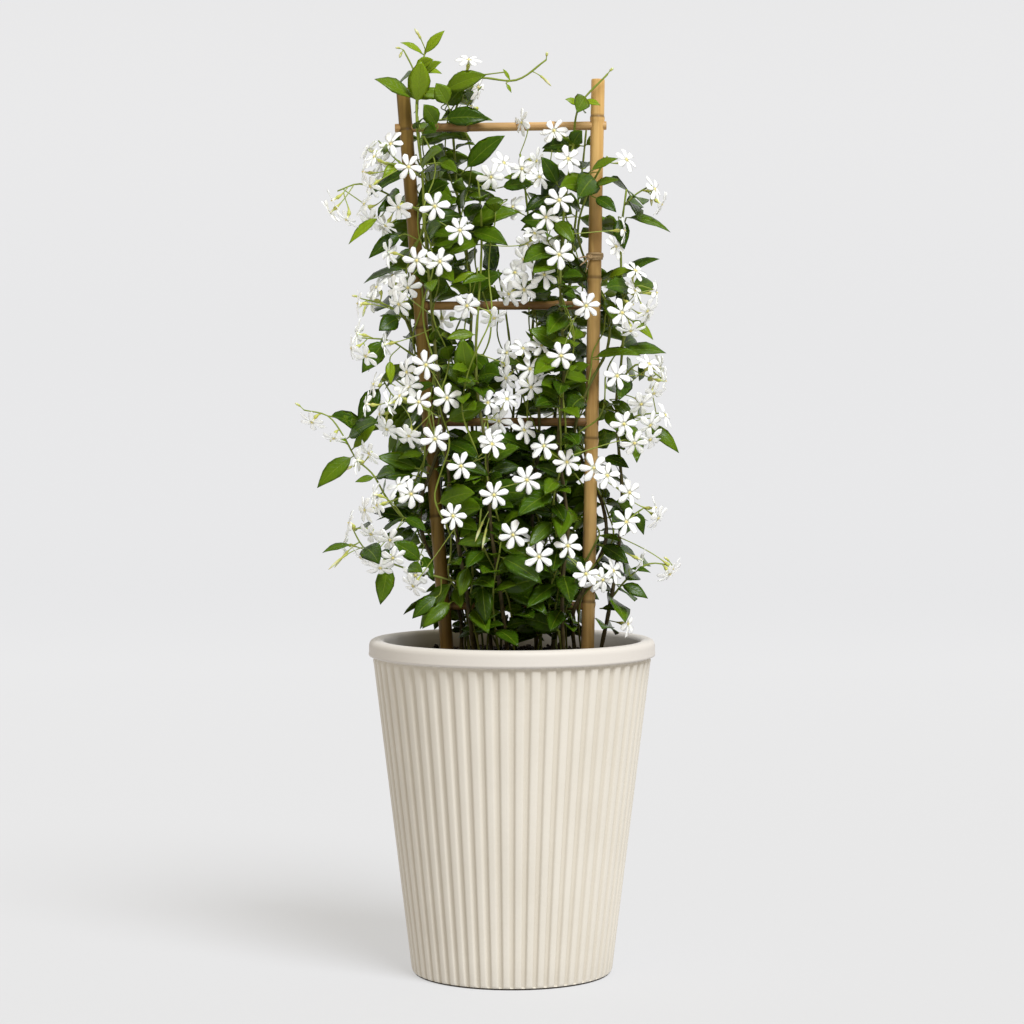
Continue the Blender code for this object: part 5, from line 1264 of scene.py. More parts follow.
def leaf_skin(skin, leaves, rng):
    """Adds leaves as thin closed blades.

    A leaf's midrib is the curve (1-u)^2 foot + 2u(1-u) bend + u^2 tip. Across it, at v from -1 to 1, its point is
    the midrib plus v half widths to the side and, above it, fold |v| less half of fold v^2, and a wave that grows
    towards the margin. The half width is an oval with a drawn-out tip, after a thin stalk. Low leaves are darker,
    as painted shade low in the plant.
    """
    keys = ("foot", "bend", "tip", "face")
    foot, bend, tip, face = (np.array([getattr(leaf, key) for leaf in leaves])[:, None] for key in keys)
    width = np.array([leaf.width for leaf in leaves])
    u = LEAF_STATIONS[None, :, None]
    at = (1 - u) ** 2 * foot + 2 * u * (1 - u) * bend + u**2 * tip
    heading = unit_rows((1 - u) * (bend - foot) + u * (tip - bend))
    side = unit_rows(np.cross(heading, np.broadcast_to(face, heading.shape)))
    above = np.cross(side, heading)[:, :, None]
    share = np.clip((LEAF_STATIONS - LEAF_BASE) / (1 - LEAF_BASE), 0, 1)
    oval = np.sin(pi * share**0.80) ** 0.92 * (1 - 0.18 * share**3)
    least = LEAF_STALK_HALF * np.where(LEAF_STATIONS > 0.9, 0.25, 1.0)
    half = np.maximum(width[:, None] / 2 * oval, least)[..., None]
    v = LEAF_ACROSS
    fold = rng.uniform(0.12, 0.60, len(leaves))[:, None, None]
    phase = rng.uniform(0, 2 * pi, len(leaves))[:, None, None]
    wave = 0.10 * np.sin(8 * u + phase + np.sign(v)) * v**2 * np.sin(pi * u)
    raised = fold * np.abs(v) - 0.5 * fold * v**2 + wave
    aside = side[:, :, None] * (half * v * (1 - 0.12 * fold))[..., None]
    top = at[:, :, None] + aside + above * (half * raised)[..., None]
    thick = np.where(LEAF_STATIONS < LEAF_BASE * 1.5, LEAF_STALK_HALF * 2, LEAF_THICKNESS)[:, None, None]
    young = np.array([youth(leaf) for leaf in leaves])
    # Painted shade: leaves lower in the plant get a lower tone, and so a darker green.
    low_shade = np.array([0.68 + 0.32 * smoothstep(0.40, 0.60, leaf.tip[2]) for leaf in leaves])
    tone = low_shade * rng.uniform(0, 1, len(leaves))
    sheets_skin(skin, top, top - above * thick, LEAF_STATIONS, (v + 1) / 2, tone=tone, young=young)


def petal_skin(skin, flowers, rng):
    """Adds petals as thin closed blades.

    A petal runs out from the flower's axis at its own angle. At a share t of its length its half width grows as a
    quarter sine to its widest at 0.74 and then rounds off, it twists to one side by t^2, and it falls back by t^2.
    """
    rows = [(flower.centre, flower.axis, *flower_axes(flower), flower.radius, flower.petals,
             flower.spin + k * 2 * pi / flower.petals)
            for flower in flowers for k in range(flower.petals)]
    count = len(rows)

    def chance(low, high):
        """A random number for each petal."""
        return rng.uniform(low, high, count)[:, None, None]

    centre, axis, across, up = (np.array([row[k] for row in rows])[:, None] for k in range(4))
    radius, petals, angle = (np.array([row[k] for row in rows]) for k in (4, 5, 6))
    angle = (angle + rng.normal(0, 0.05, count))[:, None, None]
    out = across * np.cos(angle) + up * np.sin(angle)
    side = np.cross(out, axis)
    out, side, axis, centre = (array[:, :, None] for array in (out, side, axis, centre))
    t, v = PETAL_STATIONS[:, None], PETAL_ACROSS
    r = radius[:, None, None]
    wide = (0.235 * (PETALS / petals) ** 0.7)[:, None, None] * chance(0.88, 1.08)
    swell = 0.26 + 0.74 * np.sin(pi / 2 * np.minimum(1, t / 0.74))
    half = r * wide * swell * (1 - 0.62 * smoothstep(0.80, 1.04, t))
    reach = 0.09 + (0.89 + chance(-0.05, 0.03)) * t - 0.05 * v**2 * smoothstep(0.7, 1, t)
    fall = chance(0.0, 0.22) * t**2
    cup = chance(-0.25, 0.35) * v**2 * half
    wave = 0.10 * half * v * np.sin(7 * t + chance(0, 6))
    top = (centre + out * (r * reach)[..., None] + side * (half * v + 0.09 * r * t**2)[..., None]
           + axis * (cup + wave - r * fall + PETAL / 2)[..., None])
    under = top - axis * PETAL_THICKNESS
    sheets_skin(skin, top, under, PETAL_STATIONS, (v + 1) / 2, tone=rng.uniform(0, 1, count))


def throat_skin(skin, flower, slot):
    """Adds a flower's small yellow throat: a low cone of anthers, turned round the flower's axis."""
    radius, height = (np.array(row)[:, None, None] / 1000 for row in ((2.0, 1.6, 0.9, 0.5), (0.1, 0.55, 0.65, 1.7)))
    rings = flower.centre + circle(*flower_axes(flower), angles(6)) * radius + flower.axis * height
    rings_skin(skin, rings, slot, (0, 0.3, 0.6, 1.0))


def flower_tube_skin(skin, flower, line, slot):
    """Adds what is behind a flower, its tube, calyx and stalk, as one swept profile."""
    line = spaced(np.vstack((flower.centre + flower.axis * PETAL / 2, line)), 0.0012)
    along = lengths(line)
    sweep(skin, line, np.interp(along, *TUBE_PROFILE), 6, slot, along)


def bud_skin(skin, start, tip, rng, slot):
    """Adds a bud's stalk, calyx and slim spindle, as one swept profile."""
    share, radii = BUD_PROFILE
    bow = np.sin(pi * share)[:, None] * np.array((0, 0, 0.08)) * np.linalg.norm(tip - start)
    line = start + (tip - start) * share[:, None] + bow
    sweep(skin, line, radii * rng.uniform(0.9, 1.15), 6, slot, share)


def grow_companions(stems, rng):
    """Thin stems that wind round each main stem: its line plus a slowly turning circle and a sway."""
    for name, tubes in stems.items():
        if name in BARE_VINES:
            continue
        line = spaced(tubes[0].line, 0.015)
        across, up = frames(line)
        for _ in range(COMPANIONS):
            turn = rng.uniform(0, 2 * pi) + np.cumsum(rng.uniform(0.05, 0.42, len(line)))
            reach = rng.uniform(0.007, 0.013) * (1 + 0.3 * np.sin(turn * 0.7))
            away = across * np.cos(turn)[:, None] + up * np.sin(turn)[:, None]
            wave = np.arange(len(line)) * rng.uniform(0.6, 1.1) + rng.uniform(0, 6)
            sway = across * np.sin(wave)[:, None] + up * np.cos(1.37 * wave)[:, None]
            beside = line + away * reach[:, None] + sway * WANDER * np.minimum(1, np.arange(len(line)) / 8)[:, None]
            length = int(len(line) * rng.uniform(0.75, 1.0))
            beside[2:] = pushed_clear(beside[2:], COMPANION_RADIUS, wood())
            tubes.append(Tube(beside[:length], COMPANION_RADIUS, SHOOT_TIP_RADIUS))


@functools.cache
def plant():
    """The laid-out plant, with what only the looks add to it."""
    stems, leaves, buds, sprays, taken = grow_plant()
    rng = np.random.default_rng(MORE_SEED)
    for number, (*spot, turn, lift) in enumerate(MORE_FLOWERS):
        name = f"more_{number + 1}"
        for nudge in NUDGES:
            found = grow_spray([(*map(sum, zip(spot, nudge)), turn, lift)], stems, taken, name, rng)
            if found:
                sprays[name] = found
                break
    grow_companions(stems, rng)
    for added in (grow_leaves(stems, taken, rng, MORE_GROWTH), place_shown_leaves(stems, taken, rng, MORE_LEAVES)):
        for name, more in added.items():
            leaves[name] += more
    return stems, leaves, buds, sprays


def inside_fine_outline(point):
    """Whether a point of a leaf is inside both outlines, and in none of the gaps."""
    x, z = view_of(point)
    gap = any(low_x < x < high_x and low_z < z < high_z for low_x, low_z, high_x, high_z in NO_LEAVES)
    return within(FINE_OUTLINE, x, z) and not gap and inside_outline(point)


def grown_leaf(point, out, lift, size, width, draw):
    """A leaf that leaves a stem outward, smaller near the plant's top."""
    length = LEAF_LENGTH * size * (1 - 0.45 * min(1, max(0.0, (point[2] - SMALLER_ABOVE) / 0.12)))
    heading = unit(out * (1, 1, 0.3) + np.array((0, 0, lift)))
    tip = point + heading * length - np.array((0, 0, LEAF_DROOP * length))
    outward = unit(point * (3, 14, 0) + out * (0.35, 0.35, 0))
    face = unit(UP * draw(0.15, 1.0) + outward)
    return Leaf(point, point + heading * length * 0.55, tip, face, length * LEAF_WIDTH * draw(*width))


def first_leaf(point, out, draw):
    """One of the leaves that the solids have too."""
    lift, size = draw(*LEAF_LIFT), draw(*LEAF_SIZES)
    return grown_leaf(point, out, lift, size, (0.9, 1.1), draw)


def more_leaf(point, out, draw):
    """One of the leaves that only the looks have."""
    size, lift = draw(*MORE_LEAF_SIZES), draw(*LEAF_LIFT)
    return grown_leaf(point, out, lift, size, (0.9, 1.15), draw)


def dense_internode(height):
    """How far apart the looks' pairs of leaves are at a height: wider towards the top."""
    spread = float(smoothstep(DENSE_BELOW, DENSE_BELOW + 0.14, height))
    return LOW_INTERNODE + (HIGH_INTERNODE - LOW_INTERNODE) * spread


FIRST_GROWTH = Growth((0.03, 0.012), lambda height: INTERNODE, 7, 0.35, first_leaf, inside_outline, (0.6, 1.0))
MORE_GROWTH = Growth((0.008, 0.008), dense_internode, 8, 0.5, more_leaf, inside_fine_outline, (0.35, 0.6, 1.0))


@functools.cache
def smooth_stems():
    """For each vine, the smooth curves through its stem and shoots."""
    return {name: [curve_through(stem.line, 0.006) for stem in tubes] for name, tubes in plant()[0].items()}


class Signal:
    """What a node of a material gives out. Arithmetic on it adds Math nodes."""

    def __init__(self, finish, socket):
        self.finish, self.socket = finish, socket

    def __mul__(self, other):
        return self.finish.maths("MULTIPLY", self, other)

    def __add__(self, other):
        return self.finish.maths("ADD", self, other)

    def __sub__(self, other):
        return self.finish.maths("SUBTRACT", self, other)

    def __rsub__(self, other):
        return self.finish.maths("SUBTRACT", other, self)


class Finish:
    """A Principled material that is put together node by node."""

    def __init__(self, name, roughness, specular=0.5, **sockets):
        self.material = bpy.data.materials.new(name)
        self.material.use_nodes = True
        self.tree = self.material.node_tree
        self.shader = self.tree.nodes["Principled BSDF"]
        self.coordinates = self.tree.nodes.new("ShaderNodeTexCoord")
        self.fill(self.shader, {"Roughness": roughness, "Specular IOR Level": specular, **sockets})

    def fill(self, node, sockets):
        """Set or link a node's sockets by name or number."""
        for key, value in sockets.items():
            socket = node.inputs[key]
            if isinstance(value, Signal):
                self.tree.links.new(value.socket, socket)
            elif hasattr(value, "__len__") and len(value) == 3 and socket.type == "RGBA":
                socket.default_value = (*value, 1.0)
            else:
                socket.default_value = value

    def thin(self, share, reach, radius=(1.0, 0.2, 0.1)):
        """Lets light pass under the surface: its share, its reach in metres, and each colour's."""
        self.fill(self.shader, {"Subsurface Weight": share, "Subsurface Scale": reach, "Subsurface Radius": radius})

    def node(self, kind, sockets=(), output=0, **settings):
        """What one output of a new node gives."""
        made = self.tree.nodes.new("ShaderNode" + kind)
        for key, value in settings.items():
            setattr(made, key, value)
        self.fill(made, dict(sockets))
        return Signal(self, made.outputs[output])

    def maths(self, operation, *values):
        return self.node("Math", dict(enumerate(values)), operation=operation)

    def step(self, value, low, high):
        """0 at low, 1 at high, and a smooth rise between."""
        sockets = {"Value": value, "From Min": low, "From Max": high}
        return self.node("MapRange", sockets, interpolation_type="SMOOTHSTEP")

    def mix(self, share, first, second):
        """The first colour with its share of the second over it."""
        return self.node("Mix", {0: share, 6: first, 7: second}, 2, data_type="RGBA")

    def layers(self, colour, *layers):
        """A colour with others over it, each by its share."""
        for share, other in layers:
            colour = self.mix(share, colour, other)
        return colour

    def noise(self, scale, detail=3.0, stretch=(1, 1, 1)):
        """Fractal noise in the object's own space, so many cells a metre, stretched along its axes."""
        where = Signal(self, self.coordinates.outputs["Object"])
        vector = self.node("Mapping", {"Vector": where, "Scale": stretch})
        return self.node("TexNoise", {"Vector": vector, "Scale": scale, "Detail": detail, "Roughness": 0.55})

    def value(self, name):
        """A number that the mesh keeps for each point."""
        return self.node("Attribute", output="Fac", attribute_name=name)

    def uv(self):
        """The UV map's two numbers."""
        made = self.tree.nodes.new("ShaderNodeSeparateXYZ")
        self.fill(made, {0: Signal(self, self.coordinates.outputs["UV"])})
        return [Signal(self, made.outputs[k]) for k in (0, 1)]

    def ramp(self, share, *stops):
        """Colours between stops of a place and a colour."""
        made = self.tree.nodes.new("ShaderNodeValToRGB")
        elements = made.color_ramp.elements
        while len(elements) < len(stops):
            elements.new(0.5)
        for element, (place_at, colour) in zip(elements, stops):
            element.position = place_at
            element.color = (*colour, 1.0)
        self.fill(made, {0: share})
        return Signal(self, made.outputs[0])

    def finish(self, colour, height=None, relief=0.0, strength=1.0):
        """The material with its colour, and bumps of that relief in metres."""
        self.fill(self.shader, {"Base Color": colour})
        if height is not None:
            bump = self.node("Bump", {"Height": height, "Distance": relief, "Strength": strength})
            self.fill(self.shader, {"Normal": bump})
        return self.material


def ceramic_finish(looks):
    """Satin cream glaze: faint clouds, painted shade that darkens and warms the grooves, and very fine grain."""
    made = Finish("cream_ceramic", looks.roughness, 0.2)
    clouds, specks = made.noise(14, 4), made.noise(900, 2)
    colour = made.layers(
        made.mix(made.step(clouds, 0.35, 0.7), looks.glaze, looks.glaze_shade),
        # Painted shade: the grooves take the darker groove colour by their share; the specks below use that colour
        # too.
        # Painted shade: the rim takes a darker copy of the glaze.
        (made.value("groove") * 0.40, looks.groove), (made.value("rim"), looks.rim),
        # Painted shade: the inside takes the dark inside colour.
        (made.step(specks, 0.60, 0.72) * 0.10, looks.groove), (made.value("inside") * 0.85, looks.inside),
        # Painted shadow: the foot ring is coloured near black for the contact shadow under the pot.
        (made.value("foot"), looks.foot))
    return made.finish(colour, made.noise(260, 3) + made.noise(38, 2) * 2.0, 0.00012, 0.6)


def soil_finish(looks):
    """Dark damp soil: brown and black patches, and grain at two sizes."""
    made = Finish("potting_soil", 0.9, 0.25)
    patches, grain = made.noise(90, 4), made.noise(520, 3)
    colour = made.mix(made.step(patches, 0.35, 0.7), looks.dark, looks.light)
    colour = made.mix(made.value("tone") * 0.6, colour, looks.bark)
    return made.finish(colour, patches + grain * 0.6, 0.0012)


def cane_finish(name, looks, key, stretch):
    """Bamboo: streaks along the cane, brown patches, a dark line at each node, pale sawn ends and painted shade down
    a hollow end.
    """
    made = Finish(name, 0.42, 0.25)
    streaks = made.noise(1.0, 4, stretch)
    blotches = made.noise(26, 3, tuple(0.35 if s == min(stretch) else 1.0 for s in stretch))
    ends = made.value("inner")
    colour = made.layers(
        made.mix(made.step(streaks, 0.34, 0.68), getattr(looks, key), getattr(looks, key + "_dark")),
        (made.step(blotches, 0.50, 0.72) * 0.8, looks.patch), (made.value("ring") * 0.75, NODE_LINE),
        # Pale sawn ends, and painted shade down the hollow end.
        (made.step(ends, 0.2, 0.5), SAWN_END), (made.step(ends, 0.6, 1.0), HOLLOW_SHADE))
    return made.finish(colour, streaks, 0.0004, 0.7)


def raffia_finish(looks):
    """Raffia: pale and dark fibres along the strand."""
    made = Finish("raffia", 0.8)
    across, along = made.uv()
    where = made.node("CombineXYZ", {0: across * 30.0, 1: along * 6.0, 2: made.value("tone")})
    fibres = made.node("TexNoise", {"Vector": where, "Scale": 1.0, "Detail": 2.0})
    colour = made.mix(made.step(fibres, 0.35, 0.65), looks.raffia, looks.raffia_dark)
    return made.finish(colour, fibres, 0.0003)


def stem_finish(looks):
    """Vine stem: brown bark below that turns to green wood and then to fresh green at the tips."""
    made = Finish("jasmine_stem", 0.55, 0.2)
    spots = made.noise(420, 3, (1, 1, 0.35))
    bark = made.mix(made.step(spots, 0.38, 0.66), looks.bark, looks.bark_dark)
    colour = made.mix(made.step(made.value("young"), 0.25, 0.75), bark, looks.stem)
    return made.finish(colour, spots, 0.0004, 0.6)


def leaf_finish(looks):
    """Leathery leaf: deep green that varies by leaf, a pale midrib and faint side veins, and a paler back."""
    made = Finish("jasmine_leaf", looks.leaf_roughness, 0.18)
    made.thin(0.15, 0.001, (0.6, 1.0, 0.1))
    along, across = made.uv()
    out = made.maths("ABSOLUTE", across - 0.5)
    midrib = 1.0 - made.step(out, 0.010, 0.045)
    comb = made.maths("FRACT", (along - out * 0.42) * SIDE_VEINS)
    veins = 1.0 - made.step(made.maths("ABSOLUTE", comb - 0.5), 0.03, 0.11)
    patches = made.noise(60, 3)
    # The tone is random, lower on low leaves as painted shade, and patchy.
    tone = made.value("tone") * 0.75 + patches * 0.35
    colour = made.layers(
        made.ramp(tone, (0.15, looks.leaf_dark), (0.52, looks.leaf), (0.85, looks.leaf_light)),
        # Lighter patches: partly random tone, partly painted highlight standing in for the leaves' gloss.
        (made.step(patches, 0.58, 0.75) * 0.35, looks.leaf_light), (made.value("young") * 0.85, looks.leaf_young),
        (veins * 0.10, looks.vein), (midrib * 0.40, looks.vein), (made.value("under") * 0.75, looks.leaf_back))
    colour = made.mix(made.step(along, 0.08, 0.14), looks.stem, colour)
    return made.finish(colour, made.noise(300, 2) * 0.35 - (midrib + veins * 0.5), 0.0003, 0.8)


def petal_finish(looks):
    """Petal: white, yellow-green at its foot, with faint lengthwise creases and a painted glow."""
    # Painted light: the petals glow by themselves, so petals in shade still look white.
    light = {"Emission Color": (*looks.petal, 1), "Emission Strength": looks.petal_glow}
    made = Finish("jasmine_petal", 0.55, 0.2, **light)
    made.thin(0.35, 0.0012, (1.0, 1.0, 0.9))
    along, across = made.uv()
    colour = made.layers(
        looks.petal, (made.value("tone") * 0.5, looks.petal_shade),
        (1.0 - made.step(along, 0.0, 0.20), looks.petal_foot), (made.value("under") * 0.5, looks.petal_back))
    return made.finish(colour, made.maths("SINE", across * 26.0), 0.00010, 0.5)


def throat_finish(looks):
    """Throat: yellow, more orange towards its tip."""
    made = Finish("jasmine_throat", 0.6)
    _, up = made.uv()
    return made.finish(made.ramp(up, (0.0, looks.petal_foot), (0.5, looks.throat), (1.0, looks.throat)))


def stalk_finish(name, length, *stops):
    """Colours along a tube and its stalk, at shares of a length."""
    made = Finish(name, 0.5)
    made.thin(0.2, 0.001)
    _, along = made.uv()
    share = made.maths("DIVIDE", along, length)
    return made.finish(made.ramp(share, *stops), made.noise(700, 2), 0.0002, 0.5)


def calyx_finish(looks):
    """The flower's tube and stalk: cream near the petals, then the yellow-green calyx and the green stalk."""
    return stalk_finish("jasmine_calyx", 0.02, (0.0, looks.petal), (0.14, looks.petal_foot), (0.25, looks.calyx),
                        (0.50, looks.calyx), (0.80, looks.stalk))


def bud_finish(looks):
    """Bud: a green stalk, a yellow-green calyx and a pale tip."""
    return stalk_finish("jasmine_bud", 1.0, (0.0, looks.stalk), (0.42, looks.stalk), (0.52, looks.calyx),
                        (0.66, looks.calyx), (0.85, looks.bud), (1.0, looks.calyx))


def tint(name, description, default):
    """A colour that a user would change, in linear light."""
    return FloatVectorProperty(name=name, description=description, default=default, subtype="COLOR", min=0, max=1)


def amount(name, description, default, **settings):
    """A number that a user would change."""
    return FloatProperty(name=name, description=description, default=default, min=0, **settings)


def portion(name, description, default):
    """A share from 0 to 1 that a user would change."""
    return amount(name, description, default, max=1, subtype="FACTOR")


class PotLooks(PropertyGroup):
    """Sizes and colours of the pot."""

    rib_depth: amount("Rib depth", "How deep the grooves between the ribs are", RIB_DEPTH, unit="LENGTH")
    roughness: portion("Roughness", "How matt the glaze is", 0.50)
    glaze: tint("Glaze", "The glaze's main colour", (0.730, 0.683, 0.610))
    glaze_shade: tint("Glaze clouds", "The glaze where it is a little darker", (0.695, 0.648, 0.574))
    # Painted shade: a darker, warmer glaze colour in the grooves for the shade between the ribs; the fine specks
    # share it.
    groove: tint("Grooves", "The glaze where it lies thick between the ribs", (0.560, 0.500, 0.400))
    # Painted shade: the rim is a darker copy of the glaze, for the shade that falls on it.
    rim: tint("Rim", "The glaze on the rim", (0.650, 0.608, 0.566))
    # Painted shade: the inner wall is coloured dark for the shade inside the pot.
    inside: tint("Inside", "The pot's inner wall", (0.165, 0.125, 0.075))
    # Painted shadow: the foot ring is near black for the contact shadow where the pot meets the floor.
    foot: tint("Foot", "The shadowed ring that the pot stands on", (0.045, 0.035, 0.025))


class SoilLooks(PropertyGroup):
    """Colours of the soil and how many crumbs lie on it."""

    crumbs: IntProperty(name="Crumbs", description="How many loose crumbs lie on the soil", default=700, min=1)
    dark: tint("Dark", "The soil's darkest colour", (0.007, 0.005, 0.0035))
    light: tint("Light", "The soil's lighter colour", (0.030, 0.019, 0.012))
    bark: tint("Bark", "Bits of bark in the soil", (0.060, 0.033, 0.018))


class TrellisLooks(PropertyGroup):
    """Colours of the bamboo canes and the raffia."""

    left: tint("Left cane", "The left upright", (0.27, 0.165, 0.038))
    left_dark: tint("Left cane streaks", "Darker streaks in the left upright", (0.16, 0.095, 0.019))
    # The right cane is paler than the left: partly its own golden colour, partly painted light for the leaves' shade
    # that falls on it.
    right: tint("Right cane", "The right upright", (0.77, 0.49, 0.185))
    right_dark: tint("Right cane streaks", "Darker streaks in the right upright", (0.60, 0.35, 0.115))
    # Painted light and shade: the top rung is a paler copy of the bamboo for the light it stands in, the lower rungs
    # a darker one for the leaves' shade.
    rung: tint("Rungs", "The cross bars", (0.34, 0.19, 0.060))
    top_rung: tint("Top rung", "The highest cross bar", (0.66, 0.42, 0.18))
    top_rung_dark: tint("Top rung streaks", "Darker streaks in the highest cross bar", (0.44, 0.25, 0.10))
    rung_dark: tint("Rung streaks", "Darker streaks in the cross bars", (0.16, 0.080, 0.030))
    patch: tint("Patches", "Brown patches on the canes", (0.22, 0.110, 0.030))
    raffia: tint("Raffia", "The tie's pale fibres", (0.52, 0.36, 0.18))
    raffia_dark: tint("Raffia dark", "The tie's darker fibres", (0.28, 0.17, 0.08))


class FoliageLooks(PropertyGroup):
    """Colours of the stems and leaves."""

    leaf_roughness: portion("Leaf roughness", "How matt the leaves are", 0.25)
    # The darkest green goes to leaves of low tone: some at random, and the low ones as painted shade.
    leaf_dark: tint("Darkest leaf", "The oldest leaves", (0.018, 0.042, 0.0015))
    leaf: tint("Leaf", "Most of the leaves", (0.042, 0.093, 0.003))
    # Lighter leaves and patches: partly random tone, partly painted highlight for the gloss on the leaves.
    leaf_light: tint("Lighter leaf", "Lighter leaves and patches", (0.097, 0.168, 0.0045))
    leaf_young: tint("Young leaf", "New leaves at the tips", (0.26, 0.37, 0.012))
    leaf_back: tint("Leaf back", "The leaves' undersides", (0.095, 0.150, 0.008))
    vein: tint("Veins", "The midrib and the side veins", (0.19, 0.27, 0.018))
    bark: tint("Bark", "The old stems", (0.095, 0.075, 0.028))
    bark_dark: tint("Dark bark", "Darker specks on the old stems", (0.042, 0.031, 0.013))
    stem: tint("Green stem", "The young stems and leaf stalks", (0.23, 0.29, 0.040))


class FlowerLooks(PropertyGroup):
    """Colours of the flowers and buds."""

    # Painted light: how much the petals glow by themselves, standing in for the light that thin petals let through.
    petal_glow: amount("Light through petals", "The light that the thin petals let through", 0.13)
    petal: tint("Petal", "The petals", (0.97, 0.97, 0.955))
    petal_shade: tint("Petal shade", "Petals that are a little greyer", (0.93, 0.93, 0.90))
    petal_back: tint("Petal back", "The petals' backs", (0.95, 0.95, 0.92))
    petal_foot: tint("Petal foot", "The petals next to the throat", (0.82, 0.82, 0.48))
    throat: tint("Throat", "The throat and the anthers", (0.82, 0.70, 0.24))
    calyx: tint("Calyx", "The calyx", (0.50, 0.52, 0.11))
    stalk: tint("Stalk", "The flowers' stalks", (0.30, 0.37, 0.06))
    bud: tint("Bud", "The buds' pale part", (0.74, 0.76, 0.46))


class StageLooks(PropertyGroup):
    """The studio's floor and light."""

    floor: tint("Floor", "The floor's colour", (0.246, 0.245, 0.255))
    bend: tint("Bend", "The colour where the floor bends up into the backdrop", (0.217, 0.2165, 0.2285))
    wall: tint("Backdrop", "The backdrop's colour", (0.248, 0.247, 0.259))
    glow: amount("Glow", "The even light that the floor and backdrop give back", 0.484)
    sun: tint("Key light's colour", "The colour of the light from the front right", (0.92, 0.96, 1.0))
    sky: tint("Fill light's colour", "The colour of the light from all round", (1.0, 0.88, 0.63))
    beyond: tint("Beyond", "What shows past the floor's edge", (0.80, 0.80, 0.80))
    key: amount("Key light", "The strength of the light from the front right", 3.5)
    fill: amount("Fill light", "The strength of the light from all round", 0.44)


class JASMINE_OT_pot(Operator):
    """Builds the ribbed pot."""

    bl_idname = "jasmine.pot"
    bl_label = "Pot"

    def execute(self, context):
        looks = context.scene.jasmine_pot
        skin = Skin()
        pot_skin(skin, looks.rib_depth)
        glaze = ceramic_finish(looks)
        settled("ribbed_pot", drilled("ribbed_pot", skin.mesh("ribbed_pot", [glaze]), glaze), "cream_ceramic", "pot")
        return {"FINISHED"}


class JASMINE_OT_soil(Operator):
    """Fills the pot with soil and strews crumbs on it."""

    bl_idname = "jasmine.soil"
    bl_label = "Soil"

    def execute(self, context):
        looks = context.scene.jasmine_soil
        rng = np.random.default_rng(FINE_SEED)
        earth = soil_finish(looks)
        ground, crumbs = Skin(), Skin()
        soil_skin(ground, rng)
        ground.piece("potting_soil_top", [earth], "potting_soil", "soil")
        crumb_skin(crumbs, looks.crumbs, rng)
        crumbs.piece("soil_crumbs", [earth], "potting_soil", "soil")
        return {"FINISHED"}


class JASMINE_OT_trellis(Operator):
    """Builds the bamboo uprights and cross bars."""

    bl_idname = "jasmine.trellis"
    bl_label = "Trellis"

    def execute(self, context):
        looks = context.scene.jasmine_trellis
        rng = np.random.default_rng(FINE_SEED)
        for side, pole, heights in (("left", LEFT_POLE, LEFT_NODES), ("right", RIGHT_POLE, RIGHT_NODES)):
            low, high = pole_line(pole)
            rise = unit(high - low)[2]
            nodes = [(place(0, height, 0)[2] - low[2]) / rise for height in heights]
            skin = Skin()
            cane_skin(skin, low, high, POLE_RADIUS, nodes, True, CANE_SIDES, rng)
            finish = cane_finish("bamboo_pole_" + side, looks, side, UPRIGHT_GRAIN)
            skin.piece("cane_" + side, [finish], "bamboo_cane", "pole_" + side)
        # The top rung takes the paler painted-light bamboo, the lower rungs the darker painted-shade bamboo.
        finishes = [cane_finish("bamboo_top_rung", looks, "top_rung", LYING_GRAIN)]
        finishes += [cane_finish("bamboo_rungs", looks, "rung", LYING_GRAIN)] * (len(RUNGS) - 1)
        for number, (rung, finish) in enumerate(zip(RUNGS, finishes)):
            left, right = rung_line(rung)
            nodes = [share * np.linalg.norm(right - left) + rng.uniform(-0.02, 0.02) for share in RUNG_NODES]
            skin = Skin()
            cane_skin(skin, left, right, RUNG_RADIUS, nodes, False, CANE_SIDES // 2 + 2, rng)
            skin.piece(f"cross_bar_{number + 1}", [finish], "bamboo_cane", f"rung_{number + 1}")
        return {"FINISHED"}


class JASMINE_OT_tie(Operator):
    """Ties the raffia round the right upright."""

    bl_idname = "jasmine.tie"
    bl_label = "Raffia tie"

    def execute(self, context):
        skin = Skin()
        raffia_skin(skin, np.random.default_rng(FINE_SEED))
        skin.piece("raffia_tie", [raffia_finish(context.scene.jasmine_trellis)], "raffia", "tie_right")
        return {"FINISHED"}


class JASMINE_OT_stems(Operator):
    """Builds each vine's stem, shoots, leaf stalks and buds."""

    bl_idname = "jasmine.stems"
    bl_label = "Stems"

    def execute(self, context):
        finishes = [stem_finish(context.scene.jasmine_foliage), bud_finish(context.scene.jasmine_flowers)]
        stems, leaves, buds, _ = plant()
        for name, curves in smooth_stems().items():
            rng = np.random.default_rng(FINE_SEED)
            skin = Skin()
            for number, (stem, line) in enumerate(zip(stems[name], curves)):
                radii = np.linspace(stem.start, stem.end, len(line)) * (1 + 0.10 * np.sin(np.arange(len(line)) * 1.7))
                young = np.linspace(*(YOUNG_SHOOT if number else YOUNG_STEM), len(line))
                sweep(skin, line, radii, 7, v=lengths(line), young=young)
            for leaf in leaves[name]:
                if leaf.root is not None:
                    start = nearest_point(leaf.root, curves)
                    line = stalk(start, leaf.foot, unit(leaf.foot - start), unit(leaf.bend - leaf.foot), 0.35, 8)
                    sweep(skin, line, LEAF_STALK_HALF, 6, v=lengths(line), young=1.0)
            for start, tip in buds[name]:
                bud_skin(skin, nearest_point(start, curves), tip, rng, 1)
            skin.piece("stem_" + name[5:], finishes, "jasmine_leaf", name)
        return {"FINISHED"}


